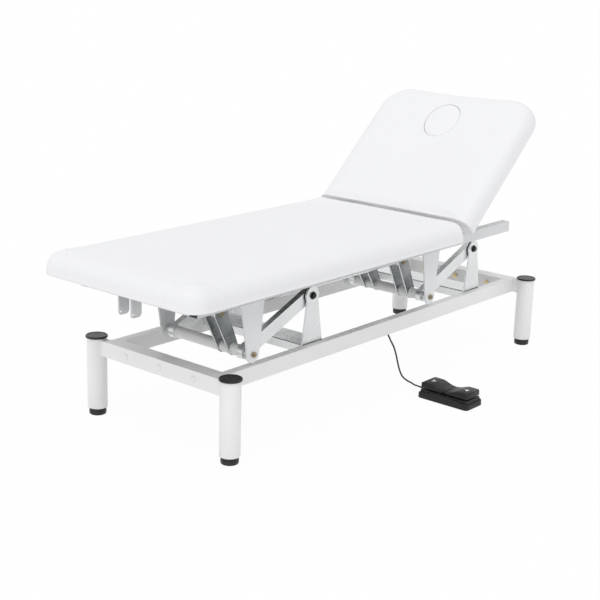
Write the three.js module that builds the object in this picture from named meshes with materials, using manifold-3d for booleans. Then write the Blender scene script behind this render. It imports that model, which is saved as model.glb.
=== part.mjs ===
// Height-adjustable electric massage table with a lifting backrest and a foot switch.
// Millimetres. X runs from the foot end to the head end, Y from the foot-switch side across
// the table, Z up from the floor. Inside this file X = 0 is the axis of the foot-end legs and
// Y = 0 the table's centre line; the finished group is moved so that its box stands on the origin.

import * as THREE from 'three';
import { mergeVertices } from 'three/addons/utils/BufferGeometryUtils.js';
import Module from 'manifold-3d';

const wasm = await Module();
wasm.setup();

// Clearances and finish of curves
const fit = 0.3; // left between faces that touch
const weld = 1; // how far welded pieces run into each other
const overrun = 6; // how far a cutter passes the face it opens
const arcSteps = 4; // half the straight steps in each arc of a plate
const roundSides = 20;
const smallSides = 12;
const halfTurn = Math.PI;
const degree = halfTurn / 180;

// Legs, end caps and levelling feet
const leg = { pitchX: 1544, fromRail: 45, diameter: 60, wall: 3, top: 243.2, plugDepth: 18 };
const foot = { diameter: 52, height: 22.2, chamfer: 2.5, stemDiameter: 12, stemLength: 56 };
const cap = { diameter: 66.6, thickness: 6, rim: 2, spigotDepth: 14 };

// Fixed base frame of rectangular tube
const baseTube = { height: 48, top: 239 };
const baseFrame = { width: 462, railWidth: 28, endWidth: 25 };
const legCross = { width: 25, inboard: 3.5 };
const frameBolt = {
  diameter: 10, headDiameter: 20, headHeight: 5, nutAcross: 17, nutHeight: 8, tail: 2,
  spread: 139, height: 214,
};

// Parallel-arm lift
const lift = {
  pivotX: 421, pivotZ: 387, pitch: 865, // upper pivots on the base brackets
  armLength: 300, restDroop: 22.75, // degrees below level at the lowest height
  boltDiameter: 12,
};
const arm = { depth: 40, thickness: 20, outer: 149.7 }; // outer: from the lift unit's centre
const bracket = {
  outer: 158.5, plate: 5, baseFootward: 42, baseHeadward: 48, neckRadius: 22, eyeRadius: 28,
  channelPlate: 4, channelDepth: 24,
  seatOnRail: 6, // the near upright stands this far over the near rail
};
const hanger = {
  outer: 175.5, plate: 5, topFootward: 49, topHeadward: 43, headRadius: 24,
  fromRailFace: 10, // how far under the upper rail the near plate hangs
};
const armBolt = { headAcross: 18, headHeight: 8, washerDiameter: 60, nutHeight: 8 };
const hangerBolt = { headDiameter: 18, headHeight: 7, collarDiameter: 26, depth: 24 };
const swingTube = { diameter: 34 };

// Levers that stand on the lower cross tubes
const lever = { length: 128, plate: 5, footRadius: 18.5, headRadius: 24, spread: 43 };
const linkLever = { fromCentre: -76, lean: 24.5 };
const driveLever = { fromCentre: 64.5, lean: 31 };
const leverPin = { diameter: 12, headDiameter: 20, headHeight: 4 };
const tieLink = { diameter: 22, eyeDiameter: 34, eyeWidth: 34 };

// Lifting upper frame
const upper = {
  railWidth: 30, railHeight: 36, top: 462, footEnd: -88, headEnd: 1465,
  crossWidth: 40, tailCrossX: 519,
};
const accessoryLug = {
  plate: 5, reach: 50, width: 37.5, drop: 33, neckRise: 6, topGap: 2, footRadius: 8, headRadius: 12,
  centreY: -5, spread: 50, holeDiameter: 9, holeInset: 8, holeRise: 8.5,
};

// Electric actuator
const actuator = {
  tailZ: 381, tailLugPlate: 5, tailEyeRadius: 12, tailEyeWidth: 25,
  tubeDiameter: 34, tubeEndX: 905, rodDiameter: 20, rodInside: 170,
  rodEyeDiameter: 30, rodEyeWidth: 30, pinDiameter: 10, pinHeadDiameter: 16, pinHead: 3,
};
const gearbox = { startX: 545, length: 66, height: 62, centreToFar: 76, chamfer: 6, wallToTube: 17.4 };
const motor = { diameter: 46, length: 128, capLength: 14, capDiameter: 40, offsetY: 51 };

// Pads and their boards
const pad = { width: 645, thickness: 70, top: 533, edgeRadius: 50, underRadius: 10, endRound: 3 };
const seat = { footEnd: -184, headEnd: 1051, cornerRadius: 62 };
const cushion = {
  crown: 4, waist: 1.6, squareCorner: 2, leastCorner: 1, ringInsets: [50, 100, 165, 235, 300],
  underRiseShare: 0.3, underInsetShare: 0.29,
};
const board = { thickness: 15, margin: 26, endMargin: 14, cornerRadius: 50 };
const backrest = {
  hingeX: 1067, hingeZ: 510, hingeGap: 10, restAngle: 42.1, length: 561,
  cornerRadius: 109, headDip: 7,
};
const faceHole = { length: 150, width: 130, fromHead: 160, breathShare: 0.78, plugRound: 5 };

// Backrest frame, its hinge and the gas spring
const backFrame = { tube: 20, start: 14, length: 336, crossX: 120 };
const hingeEar = { radius: 9, plate: 7, foot: 30 };
const hingeHook = { radius: 8, plate: 5.5, armLength: 90, gapToPad: 1.6, gapToEar: 1.5 };
const hingePin = { diameter: 8, headDiameter: 14, headHeight: 3 };
const gasSpring = {
  fromLiftCentre: -9.5, baseX: 1068, baseZ: 418, backX: 120, backDrop: 84, lugPlate: 4, lugGap: 17,
  lugRadius: 9, eyeDiameter: 13, eyeWidth: 16, pinDiameter: 6, cylinderDiameter: 18,
  cylinderStart: 9, cylinderLength: 101, wall: 3.5, rodDiameter: 9, rodLength: 107,
};

// Control box on the inner side of the near rail, and its cable clips
const controlBox = {
  footEnd: 120, length: 160, depth: 40, height: 37, bottom: 181, cornerRadius: 5,
  flange: 2, lidSeam: 1.2, seamInset: 6,
};
const mainsInlet = { width: 27, height: 20, depth: 8, recess: 5, pinWidth: 2, pinSpread: 7 };
const clip = { width: 10, wall: 1.8, firstX: 520, pitch: 200 };

// Foot switch
const footSwitch = {
  minX: 798, minY: -531, width: 92, length: 191, skirtTop: 22, deckTop: 28, deckInset: 6,
  cornerRadius: 14, edge: 1.5, padHeight: 3, padDiameter: 14, padInset: 18,
};
const tread = {
  width: 74, top: 45, endInset: 9, middleGap: 3, dipTop: 37, rise: 26, under: 32.8,
  pivotInboard: 16, pivotHeight: 31, edge: 2, endRound: 5, slopeTopShare: 1.4, slopeFootShare: 0.9,
};
const gland = { diameter: 11, flangeDiameter: 15, flange: 2, length: 22, tipDiameter: 8 };

// Foot-switch cord: diameter, and its route as chosen points. Across the table the first points
// are counted from the near rail's inner face, the last ones from the switch's far edge.
const cord = { diameter: 5.5, sides: 8, steps: 72 };
const cordAtRail = [
  [308, 17, 197], [342, 17, 197], [400, 8, 197], [450, 4, 196.8], [520, 3.5, 196.8],
  [620, 3.5, 196.8], [720, 3.5, 196.8], [775, 3.5, 196.4], [803, 3.3, 191],
  [819, 3.5, 177], [834, 1.5, 153], [852, 0, 126], [867, 0, 95], [878, 0, 66],
];
const cordAtSwitch = [
  [889, 136, 38], [899, 130, 15], [903, 116, 4.6], [897, 95, 3.6], [885, 70, 4.2],
  [872, 46, 9], [866, 36, 11], [866, 22.6, 11],
];

// Colours and surfaces
const finish = {
  whiteCoat: { color: 0xe9ebec, roughness: 0.42, metalness: 0 },
  silverCoat: { color: 0xc9cdcf, roughness: 0.4, metalness: 0.35 },
  greySteel: { color: 0x8f9596, roughness: 0.42, metalness: 0.7 },
  zinc: { color: 0xc8b27a, roughness: 0.35, metalness: 0.9 },
  bright: { color: 0xc4c6c8, roughness: 0.2, metalness: 0.95 },
  black: { color: 0x161617, roughness: 0.5, metalness: 0 },
  softBlack: { color: 0x1d1d1e, roughness: 0.7, metalness: 0 },
  upholstery: { color: 0xf3f3f5, roughness: 0.48, metalness: 0 },
  plywood: { color: 0xc9a878, roughness: 0.75, metalness: 0 },
};

// Places that follow from the sizes above
const railOuter = baseFrame.width / 2;
const railInner = railOuter - baseFrame.railWidth;
const legY = railOuter + leg.fromRail;
const baseBottom = baseTube.top - baseTube.height;
const liftCentreY = bracket.outer - bracket.seatOnRail - railInner; // off the table's centre line
const upperBottom = upper.top - upper.railHeight;
const upperHalf = hanger.outer + hanger.fromRailFace - liftCentreY;
const upperInner = upperHalf - upper.railWidth;
const backFrameY = upperInner - hingeEar.plate - hingeHook.gapToEar - hingeHook.plate - backFrame.tube / 2;
const springY = liftCentreY + gasSpring.fromLiftCentre;
const droop = lift.restDroop * degree;
const swingX = lift.pivotX - lift.armLength * Math.cos(droop);
const swingZ = lift.pivotZ - lift.armLength * Math.sin(droop);
const armInner = arm.outer - arm.thickness;
const bracketInner = bracket.outer - bracket.plate;
const backTop = pad.top - backrest.hingeZ;
const backBottom = backTop - pad.thickness;
const switchTop = footSwitch.deckTop;
const ends = [{ name: 'foot', index: 0 }, { name: 'head', index: 1 }];
const sides = [{ name: 'near', sign: -1 }, { name: 'far', sign: 1 }];

const table = new THREE.Group();

// Across the lift unit: a distance from its centre line, on the near or the far side
const across = (side, distance) => liftCentreY + side.sign * distance;

// Returns a geometry whose faces point outward, with shared corners merged
function closed(geometry) {
  const plain = geometry.clone();
  plain.deleteAttribute('normal');
  plain.deleteAttribute('uv');
  const merged = mergeVertices(plain, 1e-4);
  const places = merged.getAttribute('position');
  const index = merged.getIndex();
  const corners = [new THREE.Vector3(), new THREE.Vector3(), new THREE.Vector3()];
  const kept = [];
  let volume = 0;
  for (let i = 0; i < index.count; i += 3) {
    const ids = [index.getX(i), index.getX(i + 1), index.getX(i + 2)];
    if (ids[0] === ids[1] || ids[1] === ids[2] || ids[2] === ids[0]) continue;
    kept.push(ids);
    corners.forEach((corner, k) => corner.fromBufferAttribute(places, ids[k]));
    volume += corners[0].dot(corners[1].clone().cross(corners[2]));
  }
  const order = volume < 0 ? [0, 2, 1] : [0, 1, 2];
  merged.setIndex(kept.flatMap((ids) => order.map((k) => ids[k])));
  return merged;
}

function solid(geometry) {
  const ready = closed(geometry);
  return new wasm.Manifold(new wasm.Mesh({
    numProp: 3,
    vertProperties: new Float32Array(ready.getAttribute('position').array),
    triVerts: new Uint32Array(ready.getIndex().array),
  }));
}

const join = (first, ...others) => others.reduce((whole, piece) => whole.add(piece), first);
const cut = (first, ...cutters) => cutters.reduce((whole, piece) => whole.subtract(piece), first);

// A box between two limits along each axis
function block(x0, x1, y0, y1, z0, z1) {
  const geometry = new THREE.BoxGeometry(x1 - x0, y1 - y0, z1 - z0);
  return solid(geometry.translate((x0 + x1) / 2, (y0 + y1) / 2, (z0 + z1) / 2));
}

// A round or hexagonal bar along Y between y0 and y1
function barY(diameter, y0, y1, x, z, count = roundSides) {
  const geometry = new THREE.CylinderGeometry(diameter / 2, diameter / 2, Math.abs(y1 - y0), count);
  return solid(geometry.translate(x, (y0 + y1) / 2, z));
}

// The same along X
function barX(diameter, x0, x1, y, z, count = roundSides) {
  const geometry = new THREE.CylinderGeometry(diameter / 2, diameter / 2, Math.abs(x1 - x0), count);
  return solid(geometry.rotateZ(halfTurn / 2).translate((x0 + x1) / 2, y, z));
}

// The same along Z
function barZ(diameter, z0, z1, x, y, count = roundSides) {
  const geometry = new THREE.CylinderGeometry(diameter / 2, diameter / 2, Math.abs(z1 - z0), count);
  return solid(geometry.rotateX(halfTurn / 2).translate(x, y, (z0 + z1) / 2));
}

// A body of revolution about Z from [radius, height] pairs
function turned(profile, count = roundSides) {
  const points = profile.map(([radius, height]) => new THREE.Vector2(radius, height));
  return new THREE.LatheGeometry(points, count).rotateX(halfTurn / 2);
}

// A plate cut from a shape drawn in X and Z, between y0 and y1
function plateXZ(shape, y0, y1) {
  const geometry = new THREE.ExtrudeGeometry(shape, {
    depth: Math.abs(y1 - y0), bevelEnabled: false, curveSegments: arcSteps,
  });
  return solid(geometry.rotateX(halfTurn / 2).translate(0, Math.max(y0, y1), 0));
}

// Outline round two circles of any radius, as a strap with round ends
function strap(x0, z0, r0, x1, z1, r1) {
  const along = Math.atan2(z1 - z0, x1 - x0);
  const spread = Math.acos((r0 - r1) / Math.hypot(x1 - x0, z1 - z0));
  const shape = new THREE.Shape();
  shape.absarc(x1, z1, r1, along - spread, along + spread, false);
  shape.absarc(x0, z0, r0, along + spread, along - spread + 2 * halfTurn, false);
  shape.closePath();
  return shape;
}

// Outline of a plate that tapers from a straight base to a round head above it
function taper(baseX0, baseX1, baseZ, x, z, radius) {
  const touch = (baseX, side) => {
    const run = x - baseX;
    const rise = z - baseZ;
    const toward = Math.atan2(rise, run) - side * Math.asin(radius / Math.hypot(run, rise));
    return toward - side * halfTurn / 2;
  };
  const shape = new THREE.Shape();
  shape.moveTo(baseX0, baseZ);
  shape.lineTo(baseX1, baseZ);
  shape.absarc(x, z, radius, touch(baseX1, 1), touch(baseX0, -1), false);
  shape.closePath();
  return shape;
}

// Rectangle with round corners, drawn in any plane
function roundedRectangle(x0, y0, x1, y1, radius) {
  const shape = new THREE.Shape();
  shape.absarc(x1 - radius, y0 + radius, radius, -halfTurn / 2, 0, false);
  shape.absarc(x1 - radius, y1 - radius, radius, 0, halfTurn / 2, false);
  shape.absarc(x0 + radius, y1 - radius, radius, halfTurn / 2, halfTurn, false);
  shape.absarc(x0 + radius, y0 + radius, radius, halfTurn, 1.5 * halfTurn, false);
  shape.closePath();
  return shape;
}

// A slab from a shape drawn in X and Y, between z0 and z1, its edges rounded by edge
function slab(shape, z0, z1, edge = 0, steps = 3) {
  const geometry = new THREE.ExtrudeGeometry(shape, {
    depth: z1 - z0 - 2 * edge, curveSegments: arcSteps, bevelEnabled: edge > 0,
    bevelThickness: edge, bevelSize: edge, bevelOffset: -edge, bevelSegments: steps,
  });
  return solid(geometry.translate(0, 0, z0 + edge));
}

function add(name, piece, look, parent = table) {
  const mesh = piece.getMesh();
  const geometry = new THREE.BufferGeometry();
  geometry.setAttribute('position', new THREE.BufferAttribute(new Float32Array(mesh.vertProperties), 3));
  geometry.setIndex(new THREE.BufferAttribute(new Uint32Array(mesh.triVerts), 1));
  geometry.computeVertexNormals();
  const part = new THREE.Mesh(geometry, new THREE.MeshStandardMaterial(look));
  part.name = name;
  parent.add(part);
}

// Base: two leg frames bolted to the ends of a welded rectangular frame

function makeLegFrame(end) {
  const x = end.index * leg.pitchX;
  const inward = end.index ? -1 : 1;
  const crossMiddle = x + inward * legCross.inboard;
  const crossHalf = legCross.width / 2;
  const legBottom = foot.height + fit;
  const bore = leg.diameter - 2 * leg.wall;
  let frame = block(
    crossMiddle - crossHalf, crossMiddle + crossHalf, -legY, legY, baseBottom, baseTube.top,
  );
  for (const side of sides) {
    frame = frame.add(barZ(leg.diameter, legBottom, leg.top, x, side.sign * legY));
  }
  for (const side of sides) {
    const y = side.sign * legY;
    frame = cut(
      frame,
      barZ(bore, legBottom + leg.plugDepth, leg.top + overrun, x, y),
      barZ(foot.stemDiameter + 2 * fit, legBottom - overrun, legBottom + leg.plugDepth + overrun, x, y),
    );
  }
  for (const y of [-frameBolt.spread, 0, frameBolt.spread]) {
    const reach = crossHalf + overrun;
    frame = frame.subtract(barX(
      frameBolt.diameter + 2 * fit, crossMiddle - reach, crossMiddle + reach, y, frameBolt.height, smallSides,
    ));
  }
  add(`leg_frame_${end.name}`, frame, finish.whiteCoat);
}

function makeLegEnds(end) {
  const x = end.index * leg.pitchX;
  const spigotRadius = leg.diameter / 2 - leg.wall - fit;
  const capRadius = cap.diameter / 2;
  const footRadius = foot.diameter / 2;
  const capProfile = [
    [0, -cap.spigotDepth], [spigotRadius, -cap.spigotDepth], [spigotRadius, 0], [capRadius, 0],
    [capRadius, cap.thickness - cap.rim], [capRadius - cap.rim, cap.thickness], [0, cap.thickness],
  ];
  const footProfile = [
    [0, 0], [footRadius - foot.chamfer, 0], [footRadius, foot.chamfer],
    [footRadius, foot.height - foot.chamfer], [footRadius - foot.chamfer, foot.height],
    [foot.stemDiameter / 2, foot.height], [foot.stemDiameter / 2, foot.height + foot.stemLength],
    [0, foot.height + foot.stemLength],
  ];
  for (const side of sides) {
    const y = side.sign * legY;
    const label = `${end.name}_${side.name}`;
    add(`leg_cap_${label}`, solid(turned(capProfile).translate(x, y, leg.top + fit)), finish.black);
    add(`levelling_foot_${label}`, solid(turned(footProfile).translate(x, y, 0)), finish.black);
  }
}

// The frame lies between the two leg frames
const mainStart = legCross.inboard + legCross.width / 2 + fit;

function makeMainFrame() {
  const end = leg.pitchX - mainStart;
  const outer = block(mainStart, end, -railOuter, railOuter, baseBottom, baseTube.top);
  const inner = block(
    mainStart + baseFrame.endWidth, end - baseFrame.endWidth, -railInner, railInner,
    baseBottom - overrun, baseTube.top + overrun,
  );
  let frame = outer.subtract(inner);
  for (const y of [-frameBolt.spread, 0, frameBolt.spread]) {
    for (const [x0, x1] of [[mainStart, mainStart + baseFrame.endWidth], [end - baseFrame.endWidth, end]]) {
      frame = frame.subtract(barX(
        frameBolt.diameter + 2 * fit, x0 - overrun, x1 + overrun, y, frameBolt.height, smallSides,
      ));
    }
  }
  add('main_frame', frame, finish.whiteCoat);
}

function makeFrameBolts(end) {
  const headFace = legCross.inboard - legCross.width / 2 - fit;
  const nutFace = mainStart + baseFrame.endWidth + fit;
  const place = (x) => (end.index ? leg.pitchX - x : x);
  const headRadius = frameBolt.headDiameter / 2;
  const dome = [[0, 0], [headRadius, 0]];
  const domeSteps = 4;
  for (let i = 1; i <= domeSteps; i += 1) {
    const angle = (i / domeSteps) * halfTurn / 2;
    dome.push([headRadius * Math.cos(angle), frameBolt.headHeight * Math.sin(angle)]);
  }
  [-frameBolt.spread, 0, frameBolt.spread].forEach((y, i) => {
    const head = turned(dome, smallSides).rotateY(end.index ? halfTurn / 2 : -halfTurn / 2);
    const bolt = join(
      solid(head.translate(place(headFace), y, frameBolt.height)),
      barX(
        frameBolt.diameter, place(headFace), place(nutFace + frameBolt.nutHeight + frameBolt.tail),
        y, frameBolt.height, smallSides,
      ),
      barX(frameBolt.nutAcross, place(nutFace), place(nutFace + frameBolt.nutHeight), y, frameBolt.height, 6),
    );
    add(`frame_bolt_${end.name}_${i + 1}`, bolt, finish.zinc);
  });
}

// Lift: brackets on the base, swinging arms, and the levers that turn them together

const pivotAt = (end) => lift.pivotX + end.index * lift.pitch;
const swingAt = (end) => swingX + end.index * lift.pitch;

function makeLiftBracket(end) {
  const x = pivotAt(end);
  const x0 = x - bracket.baseFootward;
  const x1 = x + bracket.baseHeadward;
  const bottom = baseTube.top + fit;
  const lipBottom = bottom - bracket.channelDepth;
  const seatHalf = railInner + bracket.seatOnRail;
  let whole = block(x0, x1, -seatHalf, seatHalf, bottom, bottom + bracket.channelPlate);
  for (const [a, b] of [[x0, x0 + bracket.channelPlate], [x1 - bracket.channelPlate, x1]]) {
    whole = whole.add(block(a, b, -railInner + fit, railInner - fit, lipBottom, bottom + bracket.channelPlate));
  }
  const upright = taper(x0, x1, bottom, x, lift.pivotZ, bracket.neckRadius);
  for (const side of sides) {
    whole = whole.add(plateXZ(upright, across(side, bracket.outer), across(side, bracketInner)));
    whole = whole.add(barY(
      2 * bracket.eyeRadius, across(side, bracket.outer), across(side, bracketInner), x, lift.pivotZ,
    ));
    whole = whole.subtract(barY(
      lift.boltDiameter + 2 * fit, across(side, bracket.outer + overrun),
      across(side, bracketInner - overrun), x, lift.pivotZ, smallSides,
    ));
  }
  add(`lift_bracket_${end.name}`, whole, finish.silverCoat);
}

// Centre of the pin in the head of a lever, seen from the lower cross tube
const leverHead = (lean, end) => [
  swingAt(end) - lever.length * Math.sin(lean * degree), swingZ + lever.length * Math.cos(lean * degree),
];

function makeArmSet(end) {
  const x = swingAt(end);
  const leverSets = end.index ? [linkLever, driveLever] : [linkLever];
  const armShape = strap(x, swingZ, arm.depth / 2, pivotAt(end), lift.pivotZ, arm.depth / 2);
  let whole = barY(
    swingTube.diameter, across(sides[0], armInner + weld), across(sides[1], armInner + weld), x, swingZ,
  );
  for (const side of sides) {
    whole = whole.add(plateXZ(armShape, across(side, arm.outer), across(side, armInner)));
  }
  for (const set of leverSets) {
    const [headX, headZ] = leverHead(set.lean, end);
    const shape = strap(x, swingZ, lever.footRadius, headX, headZ, lever.headRadius);
    for (const side of sides) {
      const middle = liftCentreY + set.fromCentre + side.sign * lever.spread / 2;
      whole = whole.add(plateXZ(shape, middle - lever.plate / 2, middle + lever.plate / 2));
    }
    const reach = lever.spread / 2 + lever.plate / 2 + overrun;
    whole = whole.subtract(barY(
      leverPin.diameter + 2 * fit, liftCentreY + set.fromCentre - reach, liftCentreY + set.fromCentre + reach,
      headX, headZ, smallSides,
    ));
  }
  for (const side of sides) {
    whole = cut(
      whole,
      barY(
        lift.boltDiameter + 2 * fit, across(side, arm.outer + overrun), across(side, armInner - overrun),
        pivotAt(end), lift.pivotZ, smallSides,
      ),
      barY(
        lift.boltDiameter + 2 * fit, across(side, arm.outer + overrun),
        across(side, arm.outer - hangerBolt.depth - fit), x, swingZ, smallSides,
      ),
    );
  }
  add(`arm_set_${end.name}`, whole, finish.silverCoat);
}

function makeLiftBolts(end) {
  for (const side of sides) {
    const bar = (diameter, from, to, x, z, count = roundSides) => (
      barY(diameter, across(side, from), across(side, to), x, z, count)
    );
    const x = pivotAt(end);
    const z = lift.pivotZ;
    const headSeat = bracket.outer + fit;
    const nutSeat = armInner - fit;
    add(`arm_bolt_${end.name}_${side.name}`, join(
      bar(armBolt.headAcross, headSeat, headSeat + armBolt.headHeight, x, z, 6),
      bar(lift.boltDiameter, headSeat + weld, nutSeat - armBolt.nutHeight, x, z, smallSides),
      bar(armBolt.washerDiameter, bracketInner - fit, arm.outer + fit, x, z),
      bar(armBolt.headAcross, nutSeat, nutSeat - armBolt.nutHeight, x, z, 6),
    ), finish.black);
    const plateSeat = hanger.outer + fit;
    const plateInner = hanger.outer - hanger.plate - fit;
    add(`hanger_bolt_${end.name}_${side.name}`, join(
      bar(hangerBolt.headDiameter, plateSeat, plateSeat + hangerBolt.headHeight, swingAt(end), swingZ, 6),
      bar(lift.boltDiameter, plateSeat + weld, arm.outer - hangerBolt.depth, swingAt(end), swingZ, smallSides),
      bar(hangerBolt.collarDiameter, plateInner, arm.outer + fit, swingAt(end), swingZ),
    ), finish.zinc);
  }
}

function makeTieLink() {
  const [x0, z] = leverHead(linkLever.lean, ends[0]);
  const [x1] = leverHead(linkLever.lean, ends[1]);
  const y = liftCentreY + linkLever.fromCentre;
  let link = barX(tieLink.diameter, x0, x1, y, z, smallSides);
  for (const x of [x0, x1]) {
    link = link.add(barY(tieLink.eyeDiameter, y - tieLink.eyeWidth / 2, y + tieLink.eyeWidth / 2, x, z));
  }
  for (const x of [x0, x1]) {
    link = link.subtract(barY(
      leverPin.diameter + 2 * fit, y - tieLink.eyeWidth, y + tieLink.eyeWidth, x, z, smallSides,
    ));
  }
  add('tie_link', link, finish.silverCoat);
  const seat0 = lever.spread / 2 + lever.plate / 2 + fit;
  const seat1 = seat0 + leverPin.headHeight;
  for (const end of ends) {
    const [x] = leverHead(linkLever.lean, end);
    add(`link_pin_${end.name}`, join(
      barY(leverPin.diameter, y - seat1, y + seat1, x, z, smallSides),
      barY(leverPin.headDiameter, y - seat1, y - seat0, x, z, smallSides),
      barY(leverPin.headDiameter, y + seat0, y + seat1, x, z, smallSides),
    ), finish.zinc);
  }
}

// Upper frame: two long rails on cross tubes, with the hanging plates and lugs welded on

function makeUpperFrame() {
  const crossHalf = upper.crossWidth / 2;
  const footCross = upper.footEnd + crossHalf;
  const tubeEnd = upperInner + weld;
  const tube = (x) => block(x - crossHalf, x + crossHalf, -tubeEnd, tubeEnd, upperBottom, upper.top);
  let frame = tube(footCross);
  for (const x of [swingAt(ends[0]), upper.tailCrossX, swingAt(ends[1])]) frame = frame.add(tube(x));
  for (const side of sides) {
    const [y0, y1] = [side.sign * upperHalf, side.sign * upperInner].sort((a, b) => a - b);
    frame = frame.add(block(upper.footEnd, upper.headEnd, y0, y1, upperBottom, upper.top));
  }
  for (const end of ends) {
    const x = swingAt(end);
    const flipped = taper(
      x - hanger.topFootward, x + hanger.topHeadward, -upperBottom - weld, x, -swingZ, hanger.headRadius,
    );
    for (const side of sides) {
      const [y0, y1] = [across(side, hanger.outer), across(side, hanger.outer - hanger.plate)];
      const plate = new THREE.ExtrudeGeometry(flipped, {
        depth: hanger.plate, bevelEnabled: false, curveSegments: arcSteps,
      });
      const hung = plate.rotateX(-halfTurn / 2).translate(0, Math.min(y0, y1), 0);
      frame = cut(
        frame.add(solid(hung)),
        barY(lift.boltDiameter + 2 * fit, y0 + side.sign * overrun, y1 - side.sign * overrun, x, swingZ, smallSides),
      );
    }
  }
  // Empty lugs for an accessory, in front of the foot-end tube
  const lugX0 = upper.footEnd - accessoryLug.reach;
  const lugX1 = lugX0 + accessoryLug.width;
  const lugBottom = upperBottom - accessoryLug.drop;
  const lugTop = upper.top - accessoryLug.topGap;
  const lugRoot = upper.footEnd + weld;
  for (const sign of [-1, 1]) {
    const y = accessoryLug.centreY + sign * accessoryLug.spread / 2;
    const { footRadius, headRadius, neckRise, plate } = accessoryLug;
    const shape = new THREE.Shape();
    shape.moveTo(lugX0, lugTop);
    shape.absarc(lugX0 + footRadius, lugBottom + footRadius, footRadius, halfTurn, 1.5 * halfTurn, false);
    shape.absarc(lugX1 - headRadius, lugBottom + headRadius, headRadius, 1.5 * halfTurn, 2 * halfTurn, false);
    shape.lineTo(lugX1, upperBottom + neckRise);
    shape.lineTo(lugRoot, upperBottom + neckRise);
    shape.lineTo(lugRoot, lugTop);
    shape.closePath();
    frame = cut(
      frame.add(plateXZ(shape, y - plate / 2, y + plate / 2)),
      barY(
        accessoryLug.holeDiameter, y - overrun, y + overrun, lugX0 + accessoryLug.holeInset,
        lugBottom + accessoryLug.holeRise, smallSides,
      ),
    );
  }
  // Lugs for the actuator's tail under the middle tube
  for (const sign of [-1, 1]) {
    const inner = liftCentreY + driveLever.fromCentre + sign * (actuator.tailEyeWidth / 2 + fit);
    const outer = inner + sign * actuator.tailLugPlate;
    const shape = strap(
      upper.tailCrossX, actuator.tailZ, actuator.tailEyeRadius,
      upper.tailCrossX, upperBottom, actuator.tailEyeRadius,
    );
    frame = frame.add(plateXZ(shape, inner, outer));
    frame = frame.subtract(barY(
      actuator.pinDiameter + 2 * fit, inner - sign * overrun, outer + sign * overrun,
      upper.tailCrossX, actuator.tailZ, smallSides,
    ));
  }
  // Ears that carry the backrest, on the inner faces of the rails
  for (const side of sides) {
    const outer = side.sign * (upperInner + weld);
    const inner = side.sign * (upperInner - hingeEar.plate);
    const shape = strap(
      backrest.hingeX, backrest.hingeZ, hingeEar.radius,
      backrest.hingeX, upperBottom + hingeEar.foot, hingeEar.radius,
    );
    frame = cut(
      frame.add(plateXZ(shape, inner, outer)),
      barY(
        hingePin.diameter + 2 * fit, inner - side.sign * overrun, outer + side.sign * overrun,
        backrest.hingeX, backrest.hingeZ, smallSides,
      ),
    );
  }
  // Lugs and pin for the gas spring's lower end
  const springPin = gasSpring.lugGap / 2 + gasSpring.lugPlate;
  const crossFace = swingAt(ends[1]) + crossHalf;
  for (const sign of [-1, 1]) {
    const inner = springY + sign * gasSpring.lugGap / 2;
    const shape = strap(
      gasSpring.baseX, gasSpring.baseZ, gasSpring.lugRadius,
      crossFace - gasSpring.lugRadius, upperBottom + gasSpring.lugRadius, gasSpring.lugRadius,
    );
    frame = frame.add(plateXZ(shape, inner, inner + sign * gasSpring.lugPlate));
  }
  frame = frame.add(barY(
    gasSpring.pinDiameter, springY - springPin, springY + springPin,
    gasSpring.baseX, gasSpring.baseZ, smallSides,
  ));
  add('upper_frame', frame, finish.whiteCoat);
}

// Actuator: gearbox pinned to the upper frame, its rod pushing the drive levers

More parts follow.
